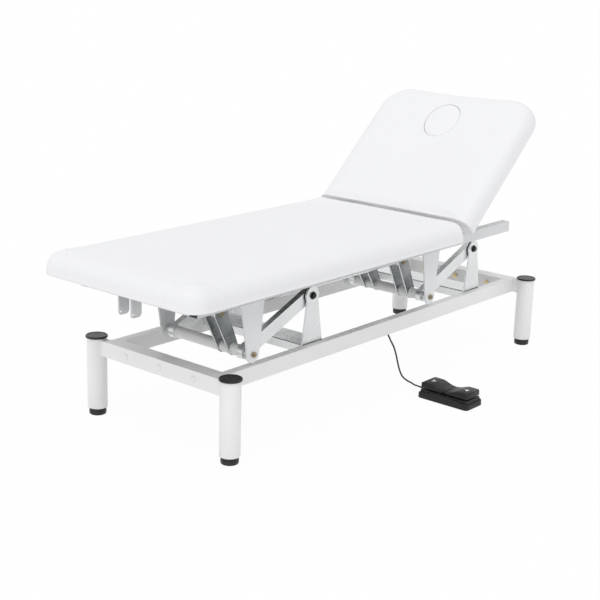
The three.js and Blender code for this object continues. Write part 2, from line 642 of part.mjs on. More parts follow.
function makeActuator() {
  const y = liftCentreY + driveLever.fromCentre;
  const z = actuator.tailZ;
  const [headX, headZ] = leverHead(driveLever.lean, ends[1]);
  const run = headX - upper.tailCrossX;
  const pitch = Math.atan2(headZ - z, run);
  const reach = Math.hypot(run, headZ - z);
  const group = new THREE.Group();
  group.position.set(upper.tailCrossX, y, z);
  group.rotation.y = -pitch;
  table.add(group);

  // Along the group's X from the tail pin
  const boxStart = gearbox.startX - upper.tailCrossX;
  const boxEnd = boxStart + gearbox.length;
  const tubeEnd = actuator.tubeEndX - upper.tailCrossX;
  const halfHeight = gearbox.height / 2;
  const profile = roundedRectangle(
    -gearbox.wallToTube - gearbox.chamfer, -halfHeight, gearbox.centreToFar, halfHeight, gearbox.chamfer,
  );
  const casting = new THREE.ExtrudeGeometry(profile, {
    depth: gearbox.length, bevelEnabled: false, curveSegments: 4,
  });
  // The drawn X becomes Y, the drawn Y becomes Z and the depth runs along X
  const turnedCasting = solid(casting.rotateX(halfTurn / 2).rotateZ(halfTurn / 2).translate(boxStart, 0, 0));
  const eye = join(
    barY(2 * actuator.tailEyeRadius, -actuator.tailEyeWidth / 2, actuator.tailEyeWidth / 2, 0, 0),
    block(0, boxStart + fit, -actuator.tailEyeWidth / 2, actuator.tailEyeWidth / 2,
      -actuator.tailEyeRadius, actuator.tailEyeRadius),
  );
  add('actuator_gearbox', cut(
    turnedCasting.add(eye),
    barY(actuator.pinDiameter + 2 * fit, -actuator.tailEyeWidth, actuator.tailEyeWidth, 0, 0, smallSides),
  ), finish.greySteel, group);

  const bore = actuator.rodDiameter + 2 * fit;
  add('actuator_tube', cut(
    barX(actuator.tubeDiameter, boxEnd + fit, tubeEnd, 0, 0),
    barX(bore, boxEnd - overrun, tubeEnd + overrun, 0, 0),
  ), finish.silverCoat, group);

  const motorStart = boxEnd + fit;
  const motorEnd = motorStart + motor.length;
  add('actuator_motor', join(
    barX(motor.diameter, motorStart, motorEnd, motor.offsetY, 0),
    barX(motor.capDiameter, motorStart, motorEnd + motor.capLength, motor.offsetY, 0),
  ), finish.greySteel, group);

  const eyeHalf = actuator.rodEyeWidth / 2;
  add('actuator_rod', cut(
    join(
      barX(actuator.rodDiameter, tubeEnd - actuator.rodInside, reach, 0, 0),
      barY(actuator.rodEyeDiameter, -eyeHalf, eyeHalf, reach, 0),
    ),
    barY(leverPin.diameter + 2 * fit, -2 * eyeHalf, 2 * eyeHalf, reach, 0, smallSides),
  ), finish.bright, group);

  const pinHalf = lever.spread / 2 - lever.plate / 2 - fit;
  add('drive_pin', barY(leverPin.diameter, -pinHalf, pinHalf, reach, 0, smallSides), finish.zinc, group);

  const tailSeat = actuator.tailEyeWidth / 2 + fit + actuator.tailLugPlate + fit;
  const tailEnd = tailSeat + actuator.pinHead;
  add('actuator_tail_pin', join(
    barY(actuator.pinDiameter, y - tailEnd, y + tailEnd, upper.tailCrossX, z, smallSides),
    barY(actuator.pinHeadDiameter, y - tailEnd, y - tailSeat, upper.tailCrossX, z, smallSides),
    barY(actuator.pinHeadDiameter, y + tailSeat, y + tailEnd, upper.tailCrossX, z, smallSides),
  ), finish.zinc);
}

// Padding: a crowned cushion whose square end is at X = 0 and whose round end is at length

// One ring of the cushion's skin, drawn in from the full outline
function cushionRing(length, radius, inset, endInset, dip) {
  const half = pad.width / 2 - inset;
  const start = endInset;
  const finishX = length - inset;
  const least = cushion.leastCorner;
  const corner = Math.max(radius - inset * (radius - least) / (pad.width / 2), least);
  const square = cushion.squareCorner;
  const cornerPoints = 7;
  const sidePoints = 5;
  const points = [];
  const arc = (cx, cy, r, from) => {
    for (let i = 0; i <= cornerPoints; i += 1) {
      const angle = (from + (i / cornerPoints) / 2) * halfTurn;
      points.push([cx + r * Math.cos(angle), cy + r * Math.sin(angle)]);
    }
  };
  const straight = (x0, y0, x1, y1, bow) => {
    for (let i = 1; i < sidePoints; i += 1) {
      const t = i / sidePoints;
      const sag = bow * Math.sin(t * halfTurn);
      points.push([x0 + (x1 - x0) * t - sag, y0 + (y1 - y0) * t]);
    }
  };
  arc(finishX - corner, -half + corner, corner, -0.5);
  straight(finishX, -half + corner, finishX, half - corner, dip);
  arc(finishX - corner, half - corner, corner, 0);
  straight(finishX - corner, half, start + square, half, 0);
  arc(start + square, half - square, square, 0.5);
  straight(start, half - square, start, -half + square, 0);
  arc(start + square, -half + square, square, 1);
  straight(start + square, -half, finishX - corner, -half, 0);
  return points;
}

function makeCushion(length, radius, dip, bottom) {
  const top = bottom + pad.thickness;
  const rounded = pad.edgeRadius;
  const levels = [
    { z: bottom, inset: pad.underRadius },
    {
      z: bottom + pad.underRadius * cushion.underRiseShare,
      inset: pad.underRadius * cushion.underInsetShare,
    },
    { z: bottom + pad.underRadius, inset: 0 },
    { z: (bottom + pad.underRadius + top - rounded) / 2, inset: cushion.waist },
    { z: top - rounded, inset: 0 },
  ];
  const edgeSteps = 5;
  for (let i = 1; i <= edgeSteps; i += 1) {
    const angle = (i / edgeSteps) * halfTurn / 2;
    levels.push({
      z: top - cushion.crown - (rounded - cushion.crown) * (1 - Math.sin(angle)),
      inset: rounded * (1 - Math.cos(angle)),
    });
  }
  const flat = cushion.ringInsets[cushion.ringInsets.length - 1] - rounded;
  for (const inset of cushion.ringInsets.slice(1)) {
    const inward = (inset - rounded) / flat;
    levels.push({ z: top - cushion.crown * (1 - inward) ** 2, inset });
  }
  const rings = levels.map(({ z, inset }) => {
    const endShare = Math.min(inset / rounded, 1);
    return cushionRing(length, radius, inset, pad.endRound * endShare, dip).map(([x, y]) => [x, y, z]);
  });
  const count = rings[0].length;
  const places = rings.flat().flat();
  const index = [];
  for (let level = 0; level + 1 < rings.length; level += 1) {
    for (let i = 0; i < count; i += 1) {
      const next = (i + 1) % count;
      const [a, b] = [level * count + i, level * count + next];
      index.push(a, b, b + count, a, b + count, a + count);
    }
  }
  const lower = places.length / 3;
  places.push(length / 2, 0, bottom, length / 2, 0, top);
  const last = (rings.length - 1) * count;
  for (let i = 0; i < count; i += 1) {
    const next = (i + 1) % count;
    index.push(lower, next, i, lower + 1, last + i, last + next);
  }
  const geometry = new THREE.BufferGeometry();
  geometry.setAttribute('position', new THREE.BufferAttribute(new Float32Array(places), 3));
  geometry.setIndex(index);
  return geometry;
}

// Outline of a board under a cushion, or of the pocket it lies in when grown by fit
function boardOutline(length, grow) {
  const half = pad.width / 2 - board.margin + grow;
  return roundedRectangle(
    board.endMargin - grow, -half, length - board.margin + grow, half, board.cornerRadius + grow,
  );
}

function makeSeat() {
  const length = seat.headEnd - seat.footEnd;
  const bottom = pad.top - pad.thickness;
  const boardBottom = upper.top + fit;
  const boardTop = boardBottom + board.thickness;
  const group = new THREE.Group();
  group.position.set(seat.headEnd, 0, 0);
  group.rotation.z = halfTurn;
  table.add(group);
  add('seat_board', slab(boardOutline(length, 0), boardBottom, boardTop), finish.plywood, group);
  add('seat_pad', cut(
    solid(makeCushion(length, seat.cornerRadius, 0, bottom)),
    slab(boardOutline(length, fit), bottom - overrun, boardTop + fit),
  ), finish.upholstery, group);
}

function oval(share, grow) {
  const shape = new THREE.Shape();
  const centre = backrest.hingeGap + backrest.length - faceHole.fromHead;
  const [a, b] = [share * faceHole.length / 2 + grow, share * faceHole.width / 2 + grow];
  shape.absellipse(centre, 0, a, b, 0, 2 * halfTurn, false, 0);
  return shape;
}

// Everything on the backrest is drawn lying flat, from the hinge pin, and tilted as one group
function makeBackrest() {
  const group = new THREE.Group();
  group.position.set(backrest.hingeX, 0, backrest.hingeZ);
  group.rotation.y = -backrest.restAngle * degree;
  table.add(group);

  const gap = backrest.hingeGap;
  const boardTop = backBottom + board.thickness;
  const shift = (piece) => piece.translate([gap, 0, 0]);
  const boardSolid = shift(slab(boardOutline(backrest.length, 0), backBottom, boardTop));
  const pocket = shift(slab(boardOutline(backrest.length, fit), backBottom - overrun, boardTop + fit));
  add('backrest_board', cut(
    boardSolid, slab(oval(faceHole.breathShare, 0), backBottom - overrun, boardTop + overrun),
  ), finish.plywood, group);
  add('backrest_pad', cut(
    shift(solid(makeCushion(backrest.length, backrest.cornerRadius, backrest.headDip, backBottom))),
    pocket,
    slab(oval(1, 0), boardTop - overrun, backTop + overrun),
  ), finish.upholstery, group);
  add('face_plug', slab(oval(1, -fit), boardTop + fit, backTop, faceHole.plugRound), finish.upholstery, group);

  // Steel frame under the board
  const tubeTop = backBottom - fit;
  const tubeBottom = tubeTop - backFrame.tube;
  const halfTube = backFrame.tube / 2;
  const frameEnd = backFrame.start + backFrame.length;
  let frame = block(
    frameEnd - backFrame.tube, frameEnd, -backFrameY, backFrameY, tubeBottom, tubeTop,
  );
  frame = frame.add(block(
    backFrame.crossX - halfTube, backFrame.crossX + halfTube, -backFrameY, backFrameY,
    tubeBottom, tubeTop,
  ));
  const hookX0 = -hingeHook.radius;
  const hookX1 = gap - hingeHook.gapToPad;
  for (const side of sides) {
    const y = side.sign * backFrameY;
    frame = frame.add(block(backFrame.start, frameEnd, y - halfTube, y + halfTube, tubeBottom, tubeTop));
    const inner = y + side.sign * (halfTube - weld);
    const outer = y + side.sign * (halfTube + hingeHook.plate);
    const hook = new THREE.Shape();
    hook.moveTo(hookX1, 0);
    hook.absarc(0, 0, hingeHook.radius, 0, halfTurn, false);
    hook.lineTo(hookX0, tubeBottom);
    hook.lineTo(hingeHook.armLength, tubeBottom);
    hook.lineTo(hingeHook.armLength, tubeTop - fit);
    hook.lineTo(hookX1, tubeTop - fit);
    hook.closePath();
    frame = cut(
      frame.add(plateXZ(hook, inner, outer)),
      barY(
        hingePin.diameter + 2 * fit, inner - side.sign * overrun, outer + side.sign * overrun,
        0, 0, smallSides,
      ),
    );
  }
  for (const sign of [-1, 1]) {
    const inner = springY + sign * gasSpring.lugGap / 2;
    const shape = strap(
      gasSpring.backX, -gasSpring.backDrop, gasSpring.lugRadius,
      gasSpring.backX, tubeBottom + gasSpring.lugRadius, gasSpring.lugRadius,
    );
    frame = frame.add(plateXZ(shape, inner, inner + sign * gasSpring.lugPlate));
  }
  add('backrest_frame', frame, finish.whiteCoat, group);

  // Pins from each hook into the ear beside it
  for (const side of sides) {
    const hookFace = backFrameY + halfTube - weld - fit;
    const earFace = upperInner + weld + fit;
    const bar = (diameter, from, to) => barY(diameter, side.sign * from, side.sign * to, 0, 0, smallSides);
    add(`hinge_pin_${side.name}`, join(
      bar(hingePin.diameter, hookFace - hingePin.headHeight, earFace + hingePin.headHeight),
      bar(hingePin.headDiameter, hookFace - hingePin.headHeight, hookFace),
      bar(hingePin.headDiameter, earFace, earFace + hingePin.headHeight),
    ), finish.zinc, group);
  }
}

function makeGasSpring() {
  const tilt = backrest.restAngle * degree;
  const endX = backrest.hingeX + gasSpring.backX * Math.cos(tilt) + gasSpring.backDrop * Math.sin(tilt);
  const endZ = backrest.hingeZ + gasSpring.backX * Math.sin(tilt) - gasSpring.backDrop * Math.cos(tilt);
  const reach = Math.hypot(endX - gasSpring.baseX, endZ - gasSpring.baseZ);
  const group = new THREE.Group();
  group.position.set(gasSpring.baseX, springY, gasSpring.baseZ);
  group.rotation.y = -Math.atan2(endZ - gasSpring.baseZ, endX - gasSpring.baseX);
  table.add(group);
  const half = gasSpring.eyeWidth / 2;
  const cylinderEnd = gasSpring.cylinderStart + gasSpring.cylinderLength;
  add('gas_spring_cylinder', cut(
    join(
      barY(gasSpring.eyeDiameter, -half, half, 0, 0, smallSides),
      barX(gasSpring.rodDiameter, gasSpring.pinDiameter, gasSpring.cylinderStart + fit, 0, 0, smallSides),
      barX(gasSpring.cylinderDiameter, gasSpring.cylinderStart, cylinderEnd, 0, 0, smallSides),
    ),
    barY(gasSpring.pinDiameter + 2 * fit, -2 * half, 2 * half, 0, 0, smallSides),
    barX(
      gasSpring.rodDiameter + 2 * fit, gasSpring.cylinderStart + gasSpring.wall, cylinderEnd + overrun,
      0, 0, smallSides,
    ),
  ), finish.softBlack, group);
  add('gas_spring_rod', join(
    barX(gasSpring.rodDiameter, reach - gasSpring.rodLength, reach, 0, 0, smallSides),
    barY(gasSpring.eyeDiameter, -half, half, reach, 0, smallSides),
  ), finish.bright, group);
}

// Control box with its mains inlet, cord gland and clips, on the near rail

const boxBack = -railInner + fit;
const boxFront = boxBack + controlBox.depth;
const boxTop = controlBox.bottom + controlBox.height;
const boxEndX = controlBox.footEnd + controlBox.length;

function makeControlBox() {
  const shape = roundedRectangle(
    controlBox.footEnd, controlBox.bottom, boxEndX, boxTop, controlBox.cornerRadius,
  );
  const lid = roundedRectangle(
    controlBox.footEnd - controlBox.flange, controlBox.bottom - controlBox.flange,
    boxEndX + controlBox.flange, boxTop + controlBox.flange, controlBox.cornerRadius,
  );
  const inletY = (boxBack + boxFront) / 2;
  const inletZ = controlBox.bottom + controlBox.height / 2;
  const pocketHalf = mainsInlet.width / 2 + fit;
  const pocketTall = mainsInlet.height / 2 + fit;
  const seam = boxFront - controlBox.seamInset;
  add('control_box', cut(
    join(plateXZ(shape, boxBack, boxFront), plateXZ(lid, seam, seam + controlBox.lidSeam)),
    block(
      controlBox.footEnd - overrun, controlBox.footEnd + mainsInlet.depth + fit,
      inletY - pocketHalf, inletY + pocketHalf, inletZ - pocketTall, inletZ + pocketTall,
    ),
  ), finish.softBlack);

  const face = controlBox.footEnd - controlBox.flange;
  const back = controlBox.footEnd + mainsInlet.depth;
  const rim = controlBox.flange;
  let inlet = cut(
    block(
      face, back, inletY - mainsInlet.width / 2, inletY + mainsInlet.width / 2,
      inletZ - mainsInlet.height / 2, inletZ + mainsInlet.height / 2,
    ),
    block(
      face - overrun, face + mainsInlet.recess, inletY - mainsInlet.width / 2 + rim,
      inletY + mainsInlet.width / 2 - rim, inletZ - mainsInlet.height / 2 + rim,
      inletZ + mainsInlet.height / 2 - rim,
    ),
  );
  for (const step of [-1, 0, 1]) {
    const y = inletY + step * mainsInlet.pinSpread;
    inlet = inlet.add(block(
      face + rim, back - fit, y - mainsInlet.pinWidth / 2, y + mainsInlet.pinWidth / 2,
      inletZ - mainsInlet.pinWidth, inletZ + mainsInlet.pinWidth,
    ));
  }
  add('mains_inlet', inlet, finish.black);
}

const glandProfile = [
  [0, 0], [gland.flangeDiameter / 2, 0], [gland.flangeDiameter / 2, gland.flange],
  [gland.diameter / 2, gland.flange], [gland.tipDiameter / 2, gland.length], [0, gland.length],
];

function makeCord() {
  const points = [
    ...cordAtRail.map(([x, inward, z]) => new THREE.Vector3(x, inward - railInner, z)),
    ...cordAtSwitch.map(([x, beyond, z]) => new THREE.Vector3(x, switchMaxY + beyond, z)),
  ];
  const curve = new THREE.CatmullRomCurve3(points, false, 'centripetal');
  const shape = new THREE.Shape();
  shape.absarc(0, 0, cord.diameter / 2, 0, 2 * halfTurn, false);
  const tube = new THREE.ExtrudeGeometry(shape, {
    steps: cord.steps, extrudePath: curve, curveSegments: cord.sides / 2, bevelEnabled: false,
  });
  add('switch_cord', solid(tube), finish.softBlack);

  const first = points[0];
  const along = curve.getTangentAt(0).negate();
  placeGland('box_gland', first, along, first.x - boxEndX - 2 * fit);
  const last = points[points.length - 1];
  placeGland('switch_gland', last, curve.getTangentAt(1), gland.length);

  const inner = cord.diameter / 2 + fit;
  const outer = inner + clip.wall;
  const offFirst = (point) => Math.abs(point.x - clip.firstX);
  const { y, z } = points.reduce((best, point) => (offFirst(point) < offFirst(best) ? point : best));
  for (const i of [0, 1]) {
    const x = clip.firstX + i * clip.pitch;
    const body = block(x, x + clip.width, boxBack, y + outer, z - outer, z + outer);
    add(`cord_clip_${i + 1}`, body.subtract(barX(
      2 * inner, x - overrun, x + clip.width + overrun, y, z, smallSides,
    )), finish.black);
  }
}

// A strain relief whose tip ends just before the cord's end, its flange on the housing
function placeGland(name, tip, direction, length) {
  const shape = turned(glandProfile.map(([r, h]) => [r, h * length / gland.length]), smallSides);
  const away = direction.clone().negate();
  const turn = new THREE.Quaternion().setFromUnitVectors(new THREE.Vector3(0, 0, 1), away);
  shape.applyQuaternion(turn);
  const start = tip.clone().addScaledVector(direction, length + fit);
  add(name, solid(shape.translate(start.x, start.y, start.z)), finish.black);
}

// Foot switch: a skirted housing on rubber pads with two rocking treads

const switchMaxX = footSwitch.minX + footSwitch.width;
const switchMaxY = footSwitch.minY + footSwitch.length;
const switchMidY = (footSwitch.minY + switchMaxY) / 2;
const switchMidX = (footSwitch.minX + switchMaxX) / 2;

function makeFootSwitch() {
  const { minX, minY, padHeight, deckInset, cornerRadius } = footSwitch;
  const skirt = roundedRectangle(minX, minY, switchMaxX, switchMaxY, cornerRadius);
  const deck = roundedRectangle(
    minX + deckInset, minY + deckInset, switchMaxX - deckInset, switchMaxY - deckInset,
    cornerRadius - deckInset / 2,
  );
  let housing = join(
    slab(skirt, padHeight, footSwitch.skirtTop, footSwitch.edge, 1),
    slab(deck, padHeight + fit, switchTop),
  );
  for (const x of [minX + footSwitch.padInset, switchMaxX - footSwitch.padInset]) {
    for (const y of [minY + footSwitch.padInset, switchMaxY - footSwitch.padInset]) {
      housing = housing.add(barZ(footSwitch.padDiameter, 0, padHeight + fit, x, y, smallSides));
    }
  }
  add('switch_housing', housing, finish.black);

  for (const side of sides) {
    // Drawn outward from the middle of the housing, along Y
    const start = tread.middleGap / 2;
    const end = footSwitch.length / 2 - tread.endInset;
    const shape = new THREE.Shape();
    shape.moveTo(start, tread.under);
    shape.lineTo(end, tread.under);
    shape.lineTo(end, tread.top - tread.endRound);
    shape.quadraticCurveTo(end, tread.top, end - tread.endRound, tread.top);
    shape.lineTo(start + 2 * tread.rise, tread.top);
    shape.bezierCurveTo(
      start + tread.rise * tread.slopeTopShare, tread.top,
      start + tread.rise * tread.slopeFootShare, tread.dipTop, start, tread.dipTop,
    );
    shape.closePath();
    const geometry = new THREE.ExtrudeGeometry(shape, {
      depth: tread.width - 2 * tread.edge, curveSegments: 6, bevelEnabled: true,
      bevelThickness: tread.edge, bevelSize: tread.edge, bevelOffset: -tread.edge, bevelSegments: 1,
    });
    // The drawn X becomes Y and the drawn Y becomes Z; the far tread is the near one turned round
    geometry.rotateX(halfTurn / 2).rotateZ(halfTurn / 2);
    if (side.sign < 0) geometry.rotateZ(halfTurn).translate(tread.width - 2 * tread.edge, 0, 0);
    geometry.translate(switchMidX - tread.width / 2 + tread.edge, switchMidY, 0);
    const rib = barX(
      2 * (tread.pivotHeight - switchTop - fit), switchMidX - tread.width / 2 + tread.edge,
      switchMidX + tread.width / 2 - tread.edge, switchMidY + side.sign * tread.pivotInboard,
      tread.pivotHeight, smallSides,
    );
    add(`switch_tread_${side.name}`, join(solid(geometry), rib), finish.softBlack);
  }
}

for (const end of ends) {
  makeLegFrame(end);
  makeLegEnds(end);
  makeFrameBolts(end);
  makeLiftBracket(end);
  makeArmSet(end);
  makeLiftBolts(end);
}
makeMainFrame();
makeTieLink();
makeUpperFrame();
makeActuator();
makeSeat();
makeBackrest();
makeGasSpring();
makeControlBox();
makeCord();
makeFootSwitch();

// The box without the cord runs from the seat's foot end to the head-end leg caps, and from the
// foot switch to the far edge of the pads
const boxMaxX = leg.pitchX + cap.diameter / 2;
table.position.set(-(seat.footEnd + boxMaxX) / 2, -(footSwitch.minY + pad.width / 2) / 2, 0);

export default table;
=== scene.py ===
import math

import bpy
from mathutils import Matrix, Vector
from mathutils.bvhtree import BVHTree
from mathutils.geometry import tessellate_polygon


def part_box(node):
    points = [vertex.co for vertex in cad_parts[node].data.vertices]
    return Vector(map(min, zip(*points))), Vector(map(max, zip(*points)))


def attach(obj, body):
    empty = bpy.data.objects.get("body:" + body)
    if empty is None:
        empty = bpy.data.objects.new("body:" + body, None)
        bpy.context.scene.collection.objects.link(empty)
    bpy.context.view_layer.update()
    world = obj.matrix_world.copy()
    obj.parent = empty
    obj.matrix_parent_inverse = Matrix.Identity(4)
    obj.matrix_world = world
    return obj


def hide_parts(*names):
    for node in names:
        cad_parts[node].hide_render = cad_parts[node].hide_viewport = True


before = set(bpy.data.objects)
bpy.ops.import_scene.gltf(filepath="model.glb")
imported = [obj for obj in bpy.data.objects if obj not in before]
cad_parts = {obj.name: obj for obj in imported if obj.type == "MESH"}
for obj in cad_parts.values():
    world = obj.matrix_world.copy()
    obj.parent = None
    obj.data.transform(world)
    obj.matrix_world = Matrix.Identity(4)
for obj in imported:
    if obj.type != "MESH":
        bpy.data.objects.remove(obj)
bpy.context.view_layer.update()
scene = bpy.context.scene

# Camera and studio: a long lens a little above the table, looking along it from the foot end
# and the foot-switch side. A pale floor, a white room and one broad lamp light it.
lens_mm, sensor_mm, clip_end = 76.59, 36.0, 400
eye = Vector((-3.08555, -2.42715, 1.4016))
aim = Vector((0.18525, 0.33395, 0.1922))
camera_roll = 0.0278
camera = bpy.data.objects.new("camera", bpy.data.cameras.new("camera"))
camera.data.lens = lens_mm
camera.data.sensor_width = sensor_mm
camera.data.clip_end = clip_end
scene.collection.objects.link(camera)
back = (eye - aim).normalized()
right = (-back).cross(Vector((0, 0, 1))).normalized()
above = right.cross(-back)
tilted_right = right * math.cos(camera_roll) + above * math.sin(camera_roll)
tilted_above = above * math.cos(camera_roll) - right * math.sin(camera_roll)
turn = Matrix((tilted_right, tilted_above, back)).transposed().to_4x4()
camera.matrix_world = Matrix.Translation(eye) @ turn
scene.camera = camera
scene.view_settings.view_transform = "Standard"

room_colour, room_strength, floor_colour, floor_white_share = (0.985, 0.99, 1.0), 0.8, (0.9, 0.9, 0.9), 0.965
lamp_energy, lamp_degrees, lamp_from, floor_half = 0.76, 60, Vector((-0.62, -0.2, 1.0)), 150.0


def maths(nodes, links, operation, first, second):
    """A value worked out from one socket and another, or from a socket and a number."""
    made = nodes.new("ShaderNodeMath")
    made.operation = operation
    links.new(first, made.inputs[0])
    if isinstance(second, float):
        made.inputs[1].default_value = second
    else:
        links.new(second, made.inputs[1])
    return made.outputs[0]


def glow(nodes, kind, strength, colour=(1, 1, 1)):
    made = nodes.new(kind)
    made.inputs["Color"].default_value = (*colour, 1)
    made.inputs["Strength"].default_value = strength
    return made


def mixed(nodes, links, share, first, second, out):
    """Mixes two shaders by a share onto the surface of an output."""
    mix = nodes.new("ShaderNodeMixShader")
    links.new(share, mix.inputs["Fac"])
    links.new(first.outputs[0], mix.inputs[1])
    links.new(second.outputs[0], mix.inputs[2])
    links.new(mix.outputs[0], nodes.new(out).inputs["Surface"])


world = bpy.data.worlds.new("white room")
scene.world = world
world.use_nodes = True
nodes, links = world.node_tree.nodes, world.node_tree.links
nodes.clear()
seen = nodes.new("ShaderNodeLightPath").outputs
looked_at = maths(nodes, links, "MAXIMUM", seen["Is Camera Ray"], seen["Is Glossy Ray"])
looked_at = maths(nodes, links, "MAXIMUM", looked_at, seen["Is Transmission Ray"])
room_light = glow(nodes, "ShaderNodeBackground", room_strength, room_colour)
plain_white = glow(nodes, "ShaderNodeBackground", 1.0)
mixed(nodes, links, looked_at, room_light, plain_white, "ShaderNodeOutputWorld")

lamp_data = bpy.data.lights.new("broad lamp", "SUN")
lamp_data.energy = lamp_energy
lamp_data.angle = math.radians(lamp_degrees)
lamp = bpy.data.objects.new("broad lamp", lamp_data)
lamp.rotation_euler = lamp_from.to_track_quat("Z", "Y").to_euler()
scene.collection.objects.link(lamp)

floor_mesh = bpy.data.meshes.new("floor")
floor_corners = [(x * floor_half, y * floor_half, 0) for x, y in ((-1, -1), (1, -1), (1, 1), (-1, 1))]
floor_mesh.from_pydata(floor_corners, [], [(0, 1, 2, 3)])
floor = bpy.data.objects.new("floor", floor_mesh)
scene.collection.objects.link(floor)
paper = bpy.data.materials.new("white floor")
paper.use_nodes = True
nodes, links = paper.node_tree.nodes, paper.node_tree.links
nodes.clear()
seen = nodes.new("ShaderNodeLightPath").outputs
looked_at = maths(nodes, links, "MAXIMUM", seen["Is Camera Ray"], seen["Is Glossy Ray"])
paper_share = maths(nodes, links, "MULTIPLY", looked_at, floor_white_share)
paper_face = nodes.new("ShaderNodeBsdfDiffuse")
paper_face.inputs["Color"].default_value = (*floor_colour, 1)
paper_glow = glow(nodes, "ShaderNodeEmission", 1.0)
mixed(nodes, links, paper_share, paper_face, paper_glow, "ShaderNodeOutputMaterial")
floor_mesh.materials.append(paper)

# Places and shared forms: the table is laid out in millimetres from the foot-end leg axes, and
# most pieces are closed shells of rings, bars, plates and beads joined into one mesh.
mm = 0.001
foot_low, foot_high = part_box("levelling_foot_foot_near")
far_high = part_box("levelling_foot_foot_far")[1]
both_ends, both_sides = ("foot", "head"), (("near", -1), ("far", 1))
corner = Vector(((foot_low.x + foot_high.x) / 2, (foot_low.y + far_high.y) / 2, 0))


def at(x, y, z):
    """A place on the table, in millimetres from the foot-end leg axes, the centre line and the floor."""
    return corner + Vector((x, y, z)) * mm


def box_shell(x0, x1, y0, y1, z0, z1):
    """A block, in mm."""
    points = [at(x, y, z) for z in (z0, z1) for x, y in ((x0, y0), (x1, y0), (x1, y1), (x0, y1))]
    return points, [(3, 2, 1, 0), (4, 5, 6, 7), (0, 1, 5, 4), (1, 2, 6, 5), (2, 3, 7, 6), (3, 0, 4, 7)]


def ring_shell(rings, looped=False):
    """Skin over rings of as many points each, in metres, with flat ends."""
    count = len(rings[0])
    points = [p for ring in rings for p in ring]
    faces = []
    spans = range(len(rings) if looped else len(rings) - 1)
    for level in spans:
        low, high = level * count, ((level + 1) % len(rings)) * count
        for i in range(count):
            j = (i + 1) % count
            faces.append((low + i, low + j, high + j, high + i))
    if not looped:
        faces.append(tuple(range(count - 1, -1, -1)))
        last = (len(rings) - 1) * count
        faces.append(tuple(range(last, last + count)))
    return points, faces


def round_ring(middle, across, up, radius, sides):
    """Points at a radius in mm round a middle in metres."""
    turns = [k / sides * math.tau for k in range(sides)]
    return [middle + (across * math.cos(a) + up * math.sin(a)) * radius * mm for a in turns]


def rod_shell(start, end, profile, sides=64):
    """A turned bar from start to end, in metres; profile pairs a radius with a distance, both in mm."""
    along = (end - start).normalized()
    across = along.orthogonal().normalized()
    up = along.cross(across)
    rings = [round_ring(start + along * d * mm, across, up, radius, sides) for radius, d in profile]
    return ring_shell(rings)


def bar_shell(start, end, diameter, edge=0.6, sides=64):
    """A round bar from start to end, in metres, with its edges rounded by edge."""
    length = (end - start).length / mm
    radius = diameter / 2
    return rod_shell(start, end, [
        (radius - edge, 0), (radius - edge * 0.3, edge * 0.3), (radius, edge), (radius, length - edge),
        (radius - edge * 0.3, length - edge * 0.3), (radius - edge, length),
    ], sides)


def bar_across(x, z, y0, y1, diameter, edge, sides=64):
    """A round bar across the table, from one distance from its centre line to another, in mm."""
    return bar_shell(at(x, y0, z), at(x, y1, z), diameter, edge, sides)


def bead_shell(path, radius, looped=True, sides=8):
    """A weld bead or a welt: a thin tube that follows points in metres."""
    rings = []
    count = len(path)
    side_on = None
    for i, p in enumerate(path):
        before = path[i - 1] if (i or looped) else p
        after = path[(i + 1) % count] if (i + 1 < count or looped) else p
        along = (after - before).normalized()
        if side_on is None:
            side_on = along.orthogonal().normalized()
        side_on = (side_on - along * side_on.dot(along)).normalized()
        rings.append(round_ring(p, side_on, along.cross(side_on), radius, sides))
    return ring_shell(rings, looped=looped)


def set_down(shell, move):
    """A shell put in its place by a matrix."""
    points, faces = shell
    return [move @ p for p in points], faces


def joined(shells):
    """The points and faces of several shells as one list of each."""
    points, faces = [], []
    for shell_points, shell_faces in shells:
        start = len(points)
        points += [tuple(p) for p in shell_points]
        faces += [tuple(start + i for i in face) for face in shell_faces]
    return points, faces


def new_object(name, points, faces):
    """A mesh object at the origin, in the scene."""
    mesh = bpy.data.meshes.new(name)
    mesh.from_pydata(points, [], faces)
    item = bpy.data.objects.new(name, mesh)
    scene.collection.objects.link(item)
    return item


def smooth(mesh):
    mesh.polygons.foreach_set("use_smooth", [True] * len(mesh.polygons))


def evaluated(item):
    return item.evaluated_get(bpy.context.evaluated_depsgraph_get())


def apply_modifiers(item):
    """Gives an object its modified mesh, and leaves no modifier on it."""
    made = bpy.data.meshes.new_from_object(evaluated(item))
    item.modifiers.clear()
    item.data = made
    made.name = item.name
    return made


def hand_over(item, body, stands_for=()):
    """Says which body carries a piece and which solids it stands for, and hides those solids."""
    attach(item, body)
    if stands_for:
        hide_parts(*stands_for)
    return item


def piece(name, shells, finish, body, slot, stands_for=(), edge=0.8, steps=2, corner_angle=36):
    """Joins closed shells into one mesh with softened edges and a finish, sets it on its body and hides the
    solids it stands for.
    """
    item = new_object(name, *joined(shells))
    smooth(item.data)
    item.data.materials.append(finish)
    if edge:
        soften = item.modifiers.new("soften", "BEVEL")
        soften.width = edge * mm
        soften.segments = steps
        soften.limit_method = "ANGLE"
        soften.angle_limit = math.radians(corner_angle)
        soften.harden_normals = True
        apply_modifiers(item)
    else:
        item.data.set_sharp_from_angle(angle=math.radians(corner_angle))
    return hand_over(item, body, stands_for)


# Surfaces: every finish is a principled material on Object coordinates, with a fine relief and,
# where it has them, a colour and a roughness that wander softly between two values.
even = (1, 1, 1)


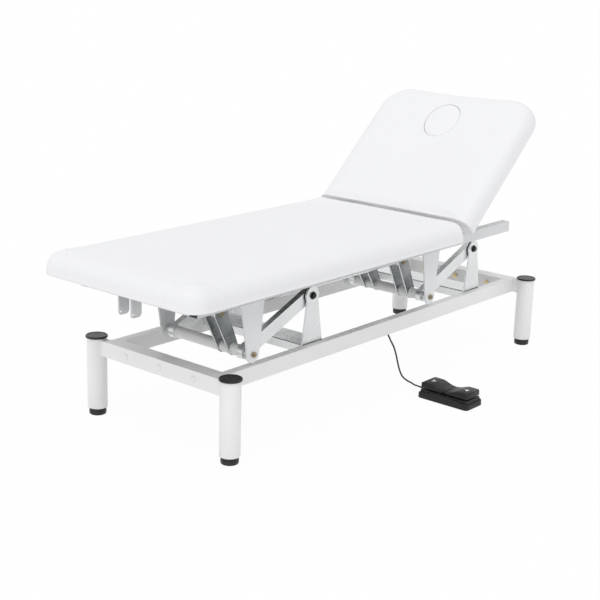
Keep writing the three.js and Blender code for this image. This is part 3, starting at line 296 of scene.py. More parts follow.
def on_object(nodes, links, kind, scale, stretch):
    """A texture of a scale on Object coordinates."""
    place = nodes.new("ShaderNodeTexCoord")
    fit = nodes.new("ShaderNodeMapping")
    fit.inputs["Scale"].default_value = stretch
    texture = nodes.new(kind)
    texture.inputs["Scale"].default_value = scale
    links.new(place.outputs["Object"], fit.inputs["Vector"])
    links.new(fit.outputs["Vector"], texture.inputs["Vector"])
    return texture


def grain(nodes, links, shader, scale, height, strength, stretch=even, kind="ShaderNodeTexNoise"):
    """Fine relief; height is in millimetres."""
    texture = on_object(nodes, links, kind, scale, stretch)
    if "Detail" in texture.inputs:
        texture.inputs["Detail"].default_value = 3.0
    bump = nodes.new("ShaderNodeBump")
    bump.inputs["Strength"].default_value = strength
    bump.inputs["Distance"].default_value = height * mm
    links.new(texture.outputs[0], bump.inputs["Height"])
    links.new(bump.outputs["Normal"], shader.inputs["Normal"])


def mottle(nodes, links, socket, scale, dark, light, stretch=even):
    """Lets a colour, or a grey used as a value, wander softly over the surface."""
    noise = on_object(nodes, links, "ShaderNodeTexNoise", scale, stretch)
    noise.inputs["Detail"].default_value = 4.0
    ramp = nodes.new("ShaderNodeValToRGB")
    for stop, position, colour in zip(ramp.color_ramp.elements, (0.3, 0.7), (dark, light)):
        stop.position = position
        stop.color = (*colour, 1)
    links.new(noise.outputs[0], ramp.inputs["Fac"])
    links.new(ramp.outputs["Color"], socket)


def surface(name, colour, roughness, relief, metallic=0.0, colours=None, sheens=None, inputs=None):
    """A finish: relief as grain takes it, colours and sheens as mottle does, inputs by their names."""
    made = bpy.data.materials.new(name)
    made.use_nodes = True
    nodes, links = made.node_tree.nodes, made.node_tree.links
    shader = nodes["Principled BSDF"]
    shader.inputs["Base Color"].default_value = (*colour, 1)
    for socket, value in {"Roughness": roughness, "Metallic": metallic, **(inputs or {})}.items():
        shader.inputs[socket].default_value = value
    grain(nodes, links, shader, *relief)
    if colours:
        mottle(nodes, links, shader.inputs["Base Color"], *colours)
    if sheens:
        scale, low, high, *stretch = sheens
        mottle(nodes, links, shader.inputs["Roughness"], scale, (low,) * 3, (high,) * 3, *stretch)
    return made


# Base frame: a welded ring of rectangular steel tube, powder-coated white, that lies between
# the two leg frames and is bolted to them. Its corners show the welder's beads.
white_coat = surface(
    "white powder coat", (0.893, 0.888, 0.883), 0.36, (900, 0.06, 0.12),
    colours=(5, (0.88, 0.876, 0.87), (0.905, 0.9, 0.895)), sheens=(40, 0.33, 0.42),
    inputs={"Coat Weight": 0.12, "Coat Roughness": 0.2},
)
rail_outer, rail_inner, rail_low, rail_top = 231.0, 203.0, 191.0, 239.0
ring_start, ring_end, end_width = 16.3, 1527.7, 25.0
butt = 0.3
frame_shells = []
for x0, x1 in ((ring_start, ring_start + end_width), (ring_end - end_width, ring_end)):
    frame_shells.append(box_shell(x0, x1, -rail_outer, rail_outer, rail_low, rail_top))
for y0, y1 in ((-rail_outer + butt, -rail_inner), (rail_inner, rail_outer - butt)):
    frame_shells.append(box_shell(
        ring_start + end_width - 4, ring_end - end_width + 4, y0, y1, rail_low + butt, rail_top - butt,
    ))
for x in (ring_start + end_width, ring_end - end_width):
    for y in (-rail_inner, rail_inner):
        frame_shells.append(bead_shell([at(x, y, z) for z in range(194, 237, 3)], 2.2, looped=False))
        across_top = [at(x, y + math.copysign(t, y), rail_top - 0.6) for t in range(1, 27, 3)]
        frame_shells.append(bead_shell(across_top, 1.4, looped=False))
piece("base_frame", frame_shells, white_coat, "base", "white_coat", ["main_frame"], edge=2.4, steps=3)

# Leg frames: two round steel legs at each end with a rectangular tube welded between them,
# coated like the base frame. Each cross tube has a bead where it meets the leg.
leg_x, leg_y, leg_radius, leg_low, leg_top = (0.0, 1544.0), 276.0, 30.0, 22.5, 243.2
cross_in, cross_half = 3.5, 12.5
for end, x in zip(both_ends, leg_x):
    inward = 1 if end == "foot" else -1
    middle = x + inward * cross_in
    shells = [box_shell(middle - cross_half, middle + cross_half, 8 - leg_y, leg_y - 8, rail_low, rail_top)]
    for sign in (-1, 1):
        y = sign * leg_y
        shells.append(bar_shell(at(x, y, leg_low), at(x, y, leg_top), 2 * leg_radius, edge=1.0, sides=72))
        outline = []
        for px, pz in (
            [(middle - cross_half + t, rail_top) for t in range(0, 26, 5)]
            + [(middle + cross_half, rail_top - t) for t in range(4, 49, 4)]
            + [(middle + cross_half - t, rail_low) for t in range(5, 26, 5)]
            + [(middle - cross_half, rail_low + t) for t in range(4, 45, 4)]
        ):
            outline.append(at(px, sign * (leg_y - math.sqrt(leg_radius ** 2 - (px - x) ** 2)), pz))
        shells.append(bead_shell(outline, 1.5))
    piece(
        f"leg_frame_{end}_made", shells, white_coat, "base", "white_coat", [f"leg_frame_{end}"],
        edge=2.4, steps=3,
    )

# End caps and levelling feet: black moulded plastic, pressed into the tube at the top and
# screwed in below it. The caps have a raised rim, the feet a groove for a spanner.
black_plastic = surface(
    "black moulded plastic", (0.012, 0.012, 0.013), 0.38, (1400, 0.05, 0.25),
    sheens=(60, 0.33, 0.46), inputs={"Specular IOR Level": 0.45},
)
cap_profile = [
    (28.5, 0.3), (33.0, 0.3), (33.3, 0.6), (33.3, 3.9), (32.9, 5.2), (31.8, 6.1), (30.4, 6.3),
    (28.9, 6.2), (28.0, 5.7), (27.4, 5.2), (26.0, 5.1), (8.0, 5.25), (1.0, 5.3),
]
foot_profile = [
    (20.0, 0.0), (23.2, 0.3), (25.0, 1.4), (25.8, 3.4), (26.0, 6.0), (26.0, 12.4), (25.2, 13.2),
    (24.9, 14.0), (25.2, 14.8), (26.0, 15.6), (26.0, 20.6), (25.5, 21.7), (24.4, 22.2), (8.0, 22.2),
    (6.0, 22.5), (6.0, 40.0),
]
for number, (end, x) in enumerate(zip(both_ends, leg_x), 1):
    for side, sign in both_sides:
        y = sign * leg_y
        piece(
            f"end_cap_{end}_{side}", [rod_shell(at(x, y, leg_top), at(x, y, leg_top + 10), cap_profile, 96)],
            black_plastic, "base", "black_plastic", [f"leg_cap_{end}_{side}"], edge=0,
        )
        piece(
            f"screw_foot_{end}_{side}", [rod_shell(at(x, y, 0), at(x, y, 50), foot_profile, 96)],
            black_plastic, f"foot_{side}_{number}", "black_plastic", [f"levelling_foot_{end}_{side}"], edge=0,
        )

# Frame bolts: three through each pair of end tubes, with domed heads painted over outside
# and yellow-zinc hexagon nuts inside. Geometry Nodes set one head and one nut at each place.
zinc = surface(
    "yellow zinc plating", (0.66, 0.52, 0.27), 0.3, (500, 0.05, 0.2, (1, 1, 6)), metallic=0.9,
    colours=(90, (0.62, 0.46, 0.2), (0.78, 0.7, 0.5)), sheens=(120, 0.22, 0.42),
)


def repeat_tree(name):
    """A node tree that sets a unit piece on every point, turned by the point's own angles."""
    tree = bpy.data.node_groups.new(name, "GeometryNodeTree")
    for label, way, kind in (
        ("Places", "INPUT", "Geometry"), ("Unit piece", "INPUT", "Object"), ("Finish", "INPUT", "Material"),
        ("Pieces", "OUTPUT", "Geometry"),
    ):
        tree.interface.new_socket(label, in_out=way, socket_type=f"NodeSocket{kind}")
    start, end, unit, angles, turned, stand, real, paint = (tree.nodes.new(kind) for kind in (
        "NodeGroupInput", "NodeGroupOutput", "GeometryNodeObjectInfo", "GeometryNodeInputNamedAttribute",
        "FunctionNodeEulerToRotation", "GeometryNodeInstanceOnPoints", "GeometryNodeRealizeInstances",
        "GeometryNodeSetMaterial",
    ))
    angles.data_type = "FLOAT_VECTOR"
    angles.inputs["Name"].default_value = "turn"
    for source, output, target, socket in (
        (start, "Places", stand, "Points"), (start, "Unit piece", unit, "Object"),
        (unit, "Geometry", stand, "Instance"), (angles, "Attribute", turned, "Euler"),
        (turned, "Rotation", stand, "Rotation"), (stand, "Instances", real, "Geometry"),
        (real, "Geometry", paint, "Geometry"), (start, "Finish", paint, "Material"),
        (paint, "Geometry", end, "Pieces"),
    ):
        tree.links.new(source.outputs[output], target.inputs[socket])
    return tree


repeats = repeat_tree("set on each place")


def repeated(name, unit_shells, places, turns, finish, body, stands_for=()):
    """One mesh of a unit piece, made about zero in metres, set at each place and turned."""
    points, faces = joined(unit_shells)
    unit_mesh = bpy.data.meshes.new(f"{name}_unit")
    unit_mesh.from_pydata(points, [], faces)
    smooth(unit_mesh)
    unit_mesh.set_sharp_from_angle(angle=math.radians(30))
    unit = bpy.data.objects.new(f"{name}_unit", unit_mesh)
    item = new_object(name, [tuple(p) for p in places], [])
    angles = item.data.attributes.new("turn", "FLOAT_VECTOR", "POINT")
    angles.data.foreach_set("vector", [a for t in turns for a in t])
    lay = item.modifiers.new("repeat", "NODES")
    lay.node_group = repeats
    inputs = {i.name: i.identifier for i in repeats.interface.items_tree if i.in_out == "INPUT"}
    lay[inputs["Unit piece"]] = unit
    lay[inputs["Finish"]] = finish
    made = apply_modifiers(item)
    if not made.materials:
        made.materials.append(finish)
    bpy.data.objects.remove(unit)
    hand_over(item, body, stands_for)


def along_x(x0, x1, profile, sides):
    """A turned unit piece along X about zero, in mm."""
    return rod_shell(Vector((x0, 0, 0)) * mm, Vector((x1, 0, 0)) * mm, profile, sides)


bolt_spread, bolt_height = 139.0, 214.0
bolt_names = [f"frame_bolt_{end}_{i}" for end in ("foot", "head") for i in (1, 2, 3)]
dome = [(10 * math.cos(a), 5 * math.sin(a)) for a in [k / 8 * math.pi / 2 for k in range(8)]] + [(0.4, 5.0)]
head_face = cross_in - cross_half - 0.3


def bolt_places(face):
    """Three places on an end tube's face at the foot end, then as many at the head end."""
    return [at(x, y, bolt_height) for x in (face, leg_x[1] - face) for y in (-bolt_spread, 0, bolt_spread)]


repeated(
    "bolt_heads", [along_x(0, 5, dome, 40)], bolt_places(head_face),
    [(0, 0, math.pi)] * 3 + [(0, 0, 0)] * 3, white_coat, "base", bolt_names,
)
nut_profile = [(7.6, 0.0), (8.5, 0.9), (8.5, 7.1), (7.6, 8.0)]
tail_profile = [(5, -25), (5, 9.2), (4.2, 10)]
nut_face, nut_turn = ring_start + end_width + 0.3, math.radians(12)
repeated(
    "bolt_nuts", [along_x(0, 8, nut_profile, 6), along_x(0, 10, tail_profile, 24)], bolt_places(nut_face),
    [(nut_turn, 0, 0)] * 3 + [(nut_turn, 0, math.pi)] * 3, zinc, "base", bolt_names,
)

# Lift brackets: a folded steel channel across the base frame at each end of the lift, with two
# tapered uprights welded on it that carry the arms' bolts. Silver-grey satin paint.
silver = surface(
    "silver satin paint", (0.78, 0.795, 0.8), 0.28, (700, 0.006, 0.03), metallic=0.7,
    colours=(9, (0.75, 0.765, 0.77), (0.81, 0.825, 0.83)), sheens=(30, 0.22, 0.32, (1, 1, 0.2)),
)


def area_of(ring):
    """Twice the area inside a ring of flat points, positive where it runs anticlockwise."""
    return sum(a[0] * b[1] - b[0] * a[1] for a, b in zip(ring, ring[1:] + ring[:1]))


def plate_shell(outline, y0, y1, holes=()):
    """A plate drawn in X and Z, in mm, between two distances across the table."""
    low, high = min(y0, y1), max(y0, y1)
    rings = [outline, *holes]
    faces, points, start = [], [], 0
    total = sum(len(ring) for ring in rings)
    for y in (low, high):
        points += [at(x, y, z) for ring in rings for x, z in ring]
    for number, ring in enumerate(rings):
        count = len(ring)
        forward = (area_of(ring) > 0) == (number == 0)
        for i in range(count):
            a, b = start + i, start + (i + 1) % count
            faces.append((a, b, b + total, a + total) if forward else (b, a, a + total, b + total))
        start += count
    if holes:
        flat = [[Vector((x, z, 0)) for x, z in ring] for ring in rings]
        spots = [p for ring in flat for p in ring]
        for tri in tessellate_polygon(flat):
            a, b, c = (spots[i] for i in tri)
            up = (b - a).cross(c - a).z > 0
            near = tri if up else tri[::-1]
            faces.append(tuple(near))
            faces.append(tuple(total + i for i in near[::-1]))
    else:
        count = len(outline)
        ring = tuple(range(count)) if area_of(outline) > 0 else tuple(range(count - 1, -1, -1))
        faces.append(ring)
        faces.append(tuple(total + i for i in ring[::-1]))
    return points, faces


def arc(x, z, radius, start, end, steps=20):
    """Points along an arc, from one angle in radians to another."""
    turns = [start + (end - start) * k / steps for k in range(steps + 1)]
    return [(x + radius * math.cos(a), z + radius * math.sin(a)) for a in turns]


def strap_outline(x0, z0, r0, x1, z1, r1):
    """Outline round two circles, a strap with round ends."""
    along = math.atan2(z1 - z0, x1 - x0)
    spread = math.acos((r0 - r1) / math.hypot(x1 - x0, z1 - z0))
    round_end = arc(x1, z1, r1, along - spread, along + spread)
    return round_end + arc(x0, z0, r0, along + spread, along - spread + math.tau)


def taper_outline(x0, x1, base, x, z, neck, eye):
    """Outline of a plate from a straight base, aimed at a neck, to a round eye about the same centre."""
    back_to_neck = math.acos(neck / eye)

    def touch(corner_x, side):
        run, rise = x - corner_x, z - base
        toward = math.atan2(rise, run) - side * math.asin(neck / math.hypot(run, rise))
        return toward - side * math.pi / 2

    head = arc(x, z, eye, touch(x1, 1) - back_to_neck, touch(x0, -1) + back_to_neck, 36)
    return [(x0, base), (x1, base)] + head


def circle(x, z, radius):
    return arc(x, z, radius, 0, math.tau * (1 - 1 / 24), 23)


lift_y, pitch = -50.5, 865.0
pivot_x, pivot_z = 421.0, 387.0
droop = math.radians(22.75)
swing_x, swing_z = pivot_x - 300 * math.cos(droop), pivot_z - 300 * math.sin(droop)
bracket_out, bracket_in, plate_low = 158.5, 153.5, 239.3
for number, end in enumerate(both_ends):
    x = pivot_x + number * pitch
    x0, x1 = x - 42, x + 48
    seat_half = bracket_out - lift_y
    shells = [box_shell(x0, x1, -seat_half, seat_half, plate_low, plate_low + 4)]
    for a, b in ((x0, x0 + 4), (x1 - 4, x1)):
        shells.append(box_shell(a, b, -rail_inner + 0.3, rail_inner - 0.3, plate_low - 24, plate_low + 3.4))
    upright = taper_outline(x0 + 0.4, x1 - 0.4, plate_low + 0.4, x, pivot_z, 22, 28)
    for sign in (-1, 1):
        shells.append(plate_shell(upright, lift_y + sign * bracket_out, lift_y + sign * bracket_in))
        foot_line = [at(x0 + 2 + t, lift_y + sign * bracket_in, plate_low + 4) for t in range(0, 87, 4)]
        shells.append(bead_shell(foot_line, 1.6, looped=False))
    piece(
        f"lift_bracket_{end}_made", shells, silver, "base", "silver_coat", [f"lift_bracket_{end}"], edge=0.7,
    )

# Arm sets: two solid silver bars each side of a white round cross tube, with lever plates
# standing on the tube for the tie link and, at the head end, for the motor. All are welded.
# The plates' broad faces are coloured dark grey with a mottle, as painted shade and painted
# reflections, and their edges silver, as a painted highlight.
# Painted shade: the lever plates' dark grey, its broad mottle painted reflections.
levers_painted_shade = surface(
    "dark grey lacquer", (0.3, 0.32, 0.325), 0.28, (700, 0.04, 0.12), metallic=0.55,
    colours=(16, (0.2, 0.22, 0.225), (0.42, 0.44, 0.445)), sheens=(40, 0.24, 0.38),
)
arm_out, arm_thick = 149.7, 20.0
lever_length, lever_spread, lever_plate = 128.0, 43.0, 5.0
levers = {"foot": [(-126.5, 24.5)], "head": [(-126.5, 24.5), (14.0, 31.0)]}


def lever_pin(lean, number):
    """The pin at the top of a lever that leans that many degrees, on the first or second arm set."""
    a = math.radians(lean)
    return swing_x + number * pitch - lever_length * math.sin(a), swing_z + lever_length * math.cos(a)


def weld_ring(x, y, z, radius, bead):
    """A bead round a bar along Y, radius from its middle, in mm."""
    turns = [k / 32 * math.tau for k in range(32)]
    return bead_shell([at(x + radius * math.cos(a), y, z + radius * math.sin(a)) for a in turns], bead)


for number, end in enumerate(both_ends):
    px, sx = pivot_x + number * pitch, swing_x + number * pitch
    inner = arm_out - arm_thick
    tube = [bar_across(sx, swing_z, lift_y - inner - 1, lift_y + inner + 1, 34, 0.5)]
    shells, plates = [], []
    for sign in (-1, 1):
        outline = strap_outline(sx, swing_z, 20, px, pivot_z, 20)
        shells.append(plate_shell(outline, lift_y + sign * arm_out, lift_y + sign * inner))
        shells.append(weld_ring(sx, lift_y + sign * inner, swing_z, 17.4, 1.6))
    for centre, lean in levers[end]:
        hx, hz = lever_pin(lean, number)
        outline = strap_outline(sx, swing_z, 18.5, hx, hz, 24)
        for sign in (-1, 1):
            middle = centre + sign * lever_spread / 2
            plates.append(plate_shell(outline, middle - lever_plate / 2, middle + lever_plate / 2))
            tube.append(weld_ring(sx, middle + sign * lever_plate / 2, swing_z, 17.3, 1.5))
    arm_set = (f"arms_{end}", "silver_coat", [f"arm_set_{end}"])
    piece(f"arm_set_{end}_made", shells, silver, *arm_set, edge=1.0)
    piece(f"swing_tube_{end}", tube, white_coat, *arm_set, edge=0.8)
    levers_made = piece(f"levers_{end}", plates, levers_painted_shade, *arm_set, edge=0.8)
    # Painted highlight: the plates' edges take the silver; their broad faces keep the painted shade.
    levers_made.data.materials.append(silver)
    for face in levers_made.data.polygons:
        face.material_index = int(abs(face.normal.y) < 0.7)

# Lift bolts: black-oxide hexagon bolts with thick black plastic washers at the brackets, and
# aged zinc hexagon bolts with turned collars of clear zinc at the hanging plates. The washers
# are drawn wider than the brackets' eyes, so their black rim is partly real washer and partly
# a painted shadow of the eye.
pale_zinc = surface(
    "clear zinc plating", (0.72, 0.725, 0.72), 0.34, (500, 0.04, 0.15), metallic=0.6,
    colours=(90, (0.66, 0.665, 0.66), (0.78, 0.785, 0.78)),
)
dull_zinc = surface(
    "aged zinc plating", (0.36, 0.29, 0.18), 0.4, (500, 0.05, 0.2), metallic=0.8,
    colours=(140, (0.2, 0.15, 0.09), (0.56, 0.48, 0.34)),
)
black_oxide = surface(
    "black oxide", (0.02, 0.02, 0.021), 0.34, (900, 0.04, 0.2), metallic=0.35, sheens=(80, 0.28, 0.45),
)


def cross_bar(x, z, profile, start, sign, sides=48):
    """A turned piece along Y; start and the profile's distances count outward from the lift's centre."""
    return rod_shell(at(x, lift_y + sign * start, z), at(x, lift_y + sign * (start + 1), z), profile, sides)


for number, end in enumerate(both_ends):
    px, sx = pivot_x + number * pitch, swing_x + number * pitch
    for side, sign in both_sides:
        # Partly painted shadow: the washer's black rim reaches beyond the bracket's eye.
        washer_and_shadow = [(29.2, 0), (30, 0.5), (30, 2.7), (29.2, 3.2)]
        head = [(8.2, 0), (9, 0.8), (9, 7.0), (8.4, 7.7), (6.4, 8)]
        flange = [(11.2, 0), (12, 0.4), (12, 1.4), (11.4, 1.8)]
        nut = [(8.2, 0), (9, 0.8), (9, 7.2), (8.2, 8)]
        collar = [(12.4, 0), (13, 0.4), (13, 19.9), (12.4, 20.3)]
        shells = [
            cross_bar(px, pivot_z, washer_and_shadow, arm_out + 0.3, sign, 72),
            cross_bar(px, pivot_z, [(6, 0), (6, 45)], arm_out - 36, sign, 32),
            cross_bar(px, pivot_z, head, bracket_out + 0.3, sign, 6),
            cross_bar(px, pivot_z, flange, bracket_out + 0.3, sign, 48),
            cross_bar(px, pivot_z, nut, arm_out - arm_thick - 8.3, sign, 6),
        ]
        piece(
            f"arm_bolt_{end}_{side}_made", shells, black_oxide, "base", "black_plastic",
            [f"arm_bolt_{end}_{side}"], edge=0, corner_angle=30,
        )
        hanger_bolt = (f"arms_{end}", "zinc", [f"hanger_bolt_{end}_{side}"], 0, 2, 30)
        shells = [cross_bar(sx, swing_z, collar, arm_out + 0.3, sign, 56)]
        piece(f"hanger_collar_{end}_{side}", shells, pale_zinc, *hanger_bolt)
        shells = [
            cross_bar(sx, swing_z, [(8.1, 0), (9, 0.8), (9, 6.2), (8.2, 7)], 175.8, sign, 6),
            cross_bar(sx, swing_z, [(4.6, 0), (5.2, 0.5), (5.2, 2.2), (4.4, 3)], 182.4, sign, 24),
            cross_bar(sx, swing_z, [(6, 0), (6, 52)], arm_out - 24, sign, 32),
        ]
        piece(f"hanger_bolt_{end}_{side}_made", shells, dull_zinc, *hanger_bolt)

# Tie link: a steel tube with an eye at each end that makes both arm sets turn together, on
# pins through the lever plates.
tie_y = levers["foot"][0][0]
(tie_x0, tie_z), (tie_x1, _) = lever_pin(24.5, 0), lever_pin(24.5, 1)
shells = [bar_shell(at(tie_x0 + 10, tie_y, tie_z), at(tie_x1 - 10, tie_y, tie_z), 22, 0.4, 40)]
for x in (tie_x0, tie_x1):
    shells.append(bar_across(x, tie_z, tie_y - 17, tie_y + 17, 34, 1.2, 56))
piece("tie_link_made", shells, silver, "tie", "silver_coat", ["tie_link"], edge=0)
for end, x in zip(both_ends, (tie_x0, tie_x1)):
    shells = [bar_across(x, tie_z, tie_y - 28.2, tie_y + 28.2, 12, 0.8, 32)]
    for sign in (-1, 1):
        shells.append(bar_across(x, tie_z, tie_y + sign * 24.3, tie_y + sign * 27.4, 20, 0.6, 40))
    piece(f"link_pin_{end}_made", shells, dull_zinc, f"arms_{end}", "zinc", [f"link_pin_{end}"], edge=0)

# Upper frame: two long rectangular tubes on cross tubes, in light grey paint, which the arms
# lift. Plates for the arms, lugs for a paper roll, the motor and the gas spring hang from it.
grey_coat = surface(
    "light grey paint", (0.74, 0.75, 0.755), 0.36, (800, 0.06, 0.14), metallic=0.12,
    colours=(6, (0.72, 0.73, 0.735), (0.76, 0.77, 0.775)), sheens=(35, 0.3, 0.42),
)
pale_coat = surface(
    "pale grey paint", (0.83, 0.84, 0.845), 0.36, (800, 0.06, 0.14), metallic=0.1,
    colours=(6, (0.81, 0.82, 0.825), (0.85, 0.86, 0.865)), sheens=(35, 0.3, 0.42),
)
top_half, top_inner, top_low, top_high = 236.0, 206.0, 426.0, 462.0
top_start, top_end = -88.0, 1465.0
rail_shells = []
for sign in (-1, 1):
    y0, y1 = sorted((sign * top_half, sign * top_inner))
    rail_shells.append(box_shell(top_start, top_end, y0, y1, top_low, top_high))
cross_x = [top_start + 20, swing_x, 519.0, swing_x + pitch]
for x in cross_x:
    y0, y1 = -top_inner - 3, top_inner + 3
    rail_shells.append(box_shell(x - 20, x + 20, y0, y1, top_low + 0.3, top_high - 0.3))
    for sign in (-1, 1):
        for edge_x in (x - 20, x + 20):
            line = [at(edge_x, sign * top_inner, z) for z in range(429, 461, 3)]
            rail_shells.append(bead_shell(line, 2.0, looped=False))
piece("upper_rails", rail_shells, grey_coat, "top", "white_coat", ["upper_frame"], edge=2.0, steps=3)

hung = []
for number in (0, 1):
    x = swing_x + number * pitch
    shape = [(px, -pz) for px, pz in taper_outline(x - 49, x + 43, -top_low - 0.4, x, -swing_z, 24, 24)]
    for sign in (-1, 1):
        hung.append(plate_shell(shape, lift_y + sign * 175.5, lift_y + sign * 170.5))
piece("hanging_plates", hung, pale_coat, "top", "white_coat", ["upper_frame"], edge=0.8)

plugs = []
for sign in (-1, 1):
    y0, y1 = sorted((sign * (top_half - 1), sign * (top_inner + 1)))
    plugs.append(box_shell(top_start - 2.2, top_start - 0.2, y0, y1, top_low + 1, top_high - 1))
    plugs.append(box_shell(top_end + 0.2, top_end + 2.2, y0, y1, top_low + 1, top_high - 1))
piece("rail_plugs", plugs, black_plastic, "top", "black_plastic", edge=0.6)

lugs = []
lug_x0, lug_x1 = top_start - 50, top_start - 12.5
lug_low, lug_high, lug_neck = top_low - 33, top_high - 2, top_low + 6
for sign in (-1, 1):
    y = -5 + sign * 25
    shape = [(lug_x0, lug_high)] + arc(lug_x0 + 8, lug_low + 8, 8, math.pi, 1.5 * math.pi, 10)
    shape += arc(lug_x1 - 12, lug_low + 12, 12, 1.5 * math.pi, math.tau, 10)
    shape += [(lug_x1, lug_neck), (top_start + 1, lug_neck), (top_start + 1, lug_high)]
    lugs.append(plate_shell(shape, y - 2.5, y + 2.5, [circle(lug_x0 + 8, lug_low + 8.5, 4.5)]))
for sign in (-1, 1):
    inner = 14 + sign * 12.8
    lugs.append(plate_shell(strap_outline(519, 381, 12, 519, top_low, 12), inner, inner + sign * 5))
for sign in (-1, 1):
    lugs.append(plate_shell(strap_outline(1067, 510, 9, 1067, 456, 9), sign * 205, sign * 199))
spring_x, spring_z = 1068.0, 418.0
for sign in (-1, 1):
    inner = -60 + sign * 8.5
    strap = strap_outline(spring_x, spring_z, 9, cross_x[3] + 11, top_low + 9, 9)
    lugs.append(plate_shell(strap, inner, inner + sign * 4))
lugs.append(bar_across(spring_x, spring_z, -72.5, -47.5, 6, 0.4, 24))
piece("upper_lugs", lugs, grey_coat, "top", "white_coat", ["upper_frame"], edge=0.6)

# Actuator: a cast gearbox with the motor beside the tube that the rod slides out of. It hangs
# between two lugs and pushes the head-end levers. Bare grey castings and a bright rod.
cast_grey = surface(
    "grey casting", (0.3, 0.32, 0.325), 0.42, (350, 0.15, 0.35), metallic=0.55,
    colours=(14, (0.26, 0.28, 0.285), (0.36, 0.38, 0.385)),
)
bright = surface(
    "bright ground steel", (0.72, 0.73, 0.74), 0.16, (1200, 0.02, 0.2, (0.05, 1, 1)), metallic=1.0,
)
drive_x, drive_z = lever_pin(31.0, 1)
tail_x, tail_z, motor_line = 519.0, 381.0, 14.0
slope = (drive_z - tail_z) / (drive_x - tail_x)


def axis_at(distance, y=0.0, z=0.0):
    """A point on the actuator, from its tail pin along its own axis."""
    return at(tail_x + distance, motor_line + y, tail_z + z + slope * distance)


box_rings = []
for distance, shrink in ((26, 2), (27, 0.6), (29, 0), (89, 0), (91, 0.6), (92, 2)):
    y0, y1, z0, z1, r = -23.4 + shrink, 76 - shrink, -31 + shrink, 31 - shrink, 8.0
    ring = []
    corners = ((y1 - r, z1 - r, 0), (y0 + r, z1 - r, 90), (y0 + r, z0 + r, 180), (y1 - r, z0 + r, 270))
    for cy, cz, a0 in corners:
        for k in range(7):
            a = math.radians(a0 + k * 15)
            ring.append(axis_at(distance, cy + r * math.cos(a), cz + r * math.sin(a)))
    box_rings.append(ring)
shells = [ring_shell(box_rings)]
shells.append(bar_across(tail_x, tail_z, motor_line - 12.5, motor_line + 12.5, 24, 0.8, 48))
tail_block = [
    [axis_at(d, sy * 12.3, sz * 11.8) for sy, sz in ((-1, -1), (1, -1), (1, 1), (-1, 1))] for d in (0, 27)
]
shells.append(ring_shell(tail_block))
for cy, cz in ((-17, -25), (-17, 25), (69, -25), (69, 25)):
    shells.append(bar_shell(axis_at(91.6, cy, cz), axis_at(94.6, cy, cz), 8, 0.5, 20))
cast = {"finish": cast_grey, "body": "actuator_body", "slot": "grey_steel", "edge": 0, "corner_angle": 40}
piece("gearbox_made", shells, stands_for=["actuator_gearbox"], **cast)
motor_profile = [
    (22, 0), (23, 0.8), (23, 8), (22.4, 8.6), (22.4, 10), (23, 10.6), (23, 116), (22.3, 116.8),
    (22.3, 118.4), (23, 119.2), (23, 127), (22, 128), (20.4, 128.2), (20, 129), (20, 140), (18, 142),
    (7, 142), (6, 144), (1, 144),
]
motor_shell = rod_shell(axis_at(92.3, 51), axis_at(93.3, 51), motor_profile, 64)
piece("motor_made", [motor_shell], stands_for=["actuator_motor"], **cast)
tube_profile = [
    (14, 0), (17, 0), (17, 268), (18.2, 268.4), (18.2, 292.6), (17.6, 293.5), (13, 293.7), (11, 293.4),
    (10.3, 291),
]
piece(
    "actuator_tube_made", [rod_shell(axis_at(92.3), axis_at(93.3), tube_profile, 56)], silver,
    "actuator_body", "silver_coat", ["actuator_tube"], edge=0, corner_angle=30,
)
reach = drive_x - tail_x
piece("actuator_rod_made", [
    rod_shell(axis_at(220), axis_at(221), [(10, 0), (10, reach - 220 - 2)], 40),
    bar_shell(axis_at(reach, -15), axis_at(reach, 15), 30, 1.0, 48),
], bright, "actuator_spindle", "bright_steel", ["actuator_rod"], edge=0)
pin = bar_shell(axis_at(reach, -18.6), axis_at(reach, 18.6), 12, 0.8, 32)
piece("drive_pin_made", [pin], zinc, "actuator_spindle", "zinc", ["drive_pin"], edge=0)
tail_shells = [bar_across(tail_x, tail_z, motor_line - 21, motor_line + 21, 10, 0.6, 32)]
for sign in (-1, 1):
    y0, y1 = motor_line + sign * 18.1, motor_line + sign * 20.8
    tail_shells.append(bar_across(tail_x, tail_z, y0, y1, 16, 0.5, 32))
piece("tail_pin_made", tail_shells, zinc, "top", "zinc", ["actuator_tail_pin"], edge=0)

# Boards: 15 mm plywood let into the underside of each pad. Only its edge shows, inside the
# breathing hole; a black dust cover hides the rest.
plywood = surface(
    "plywood", (0.6, 0.45, 0.28), 0.6, (160, 0.3, 0.3, (0.08, 1, 1)),
    colours=(60, (0.45, 0.31, 0.17), (0.7, 0.55, 0.37), (0.1, 1, 6)),
)


def cover_nodes(nodes, finish):
    """Gives solids that show as they are their finish."""
    for node in nodes:
        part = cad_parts[node]
        part.data.materials.clear()
        part.data.materials.append(finish)


cover_nodes(("seat_board", "backrest_board"), plywood)

# Pads: moulded foam under one skin of white synthetic leather. The long edges are full and
# round, the sides fall straight to the board, and the foot end has a cap sewn on each corner.
leather = surface(
    "white synthetic leather", (0.9, 0.9, 0.915), 0.5, (620, 0.12, 0.22, even, "ShaderNodeTexVoronoi"),
    colours=(3, (0.864, 0.864, 0.878), (0.878, 0.878, 0.89)), sheens=(50, 0.47, 0.55),
    inputs={"Specular IOR Level": 0.3, "Sheen Weight": 0.06, "Sheen Roughness": 0.4},
)

pad_width, pad_thick, pad_edge, pad_under, pad_end = 645.0, 70.0, 50.0, 10.0, 3.0


def spread(stops, spacing):
    """Grid lines between stops, no further apart than spacing."""
    lines = [stops[0]]
    for a, b in zip(stops, stops[1:]):
        steps = max(1, math.ceil((b - a) / spacing))
        lines += [a + (b - a) * (k + 1) / steps for k in range(steps)]
    return lines


def rounded(a, b):
    """A point of a square put on the circle inside it, with the radius and the way it points."""
    m, h = max(a, b), math.hypot(a, b)
    return a * m / h, b * m / h, m, a / h, b / h


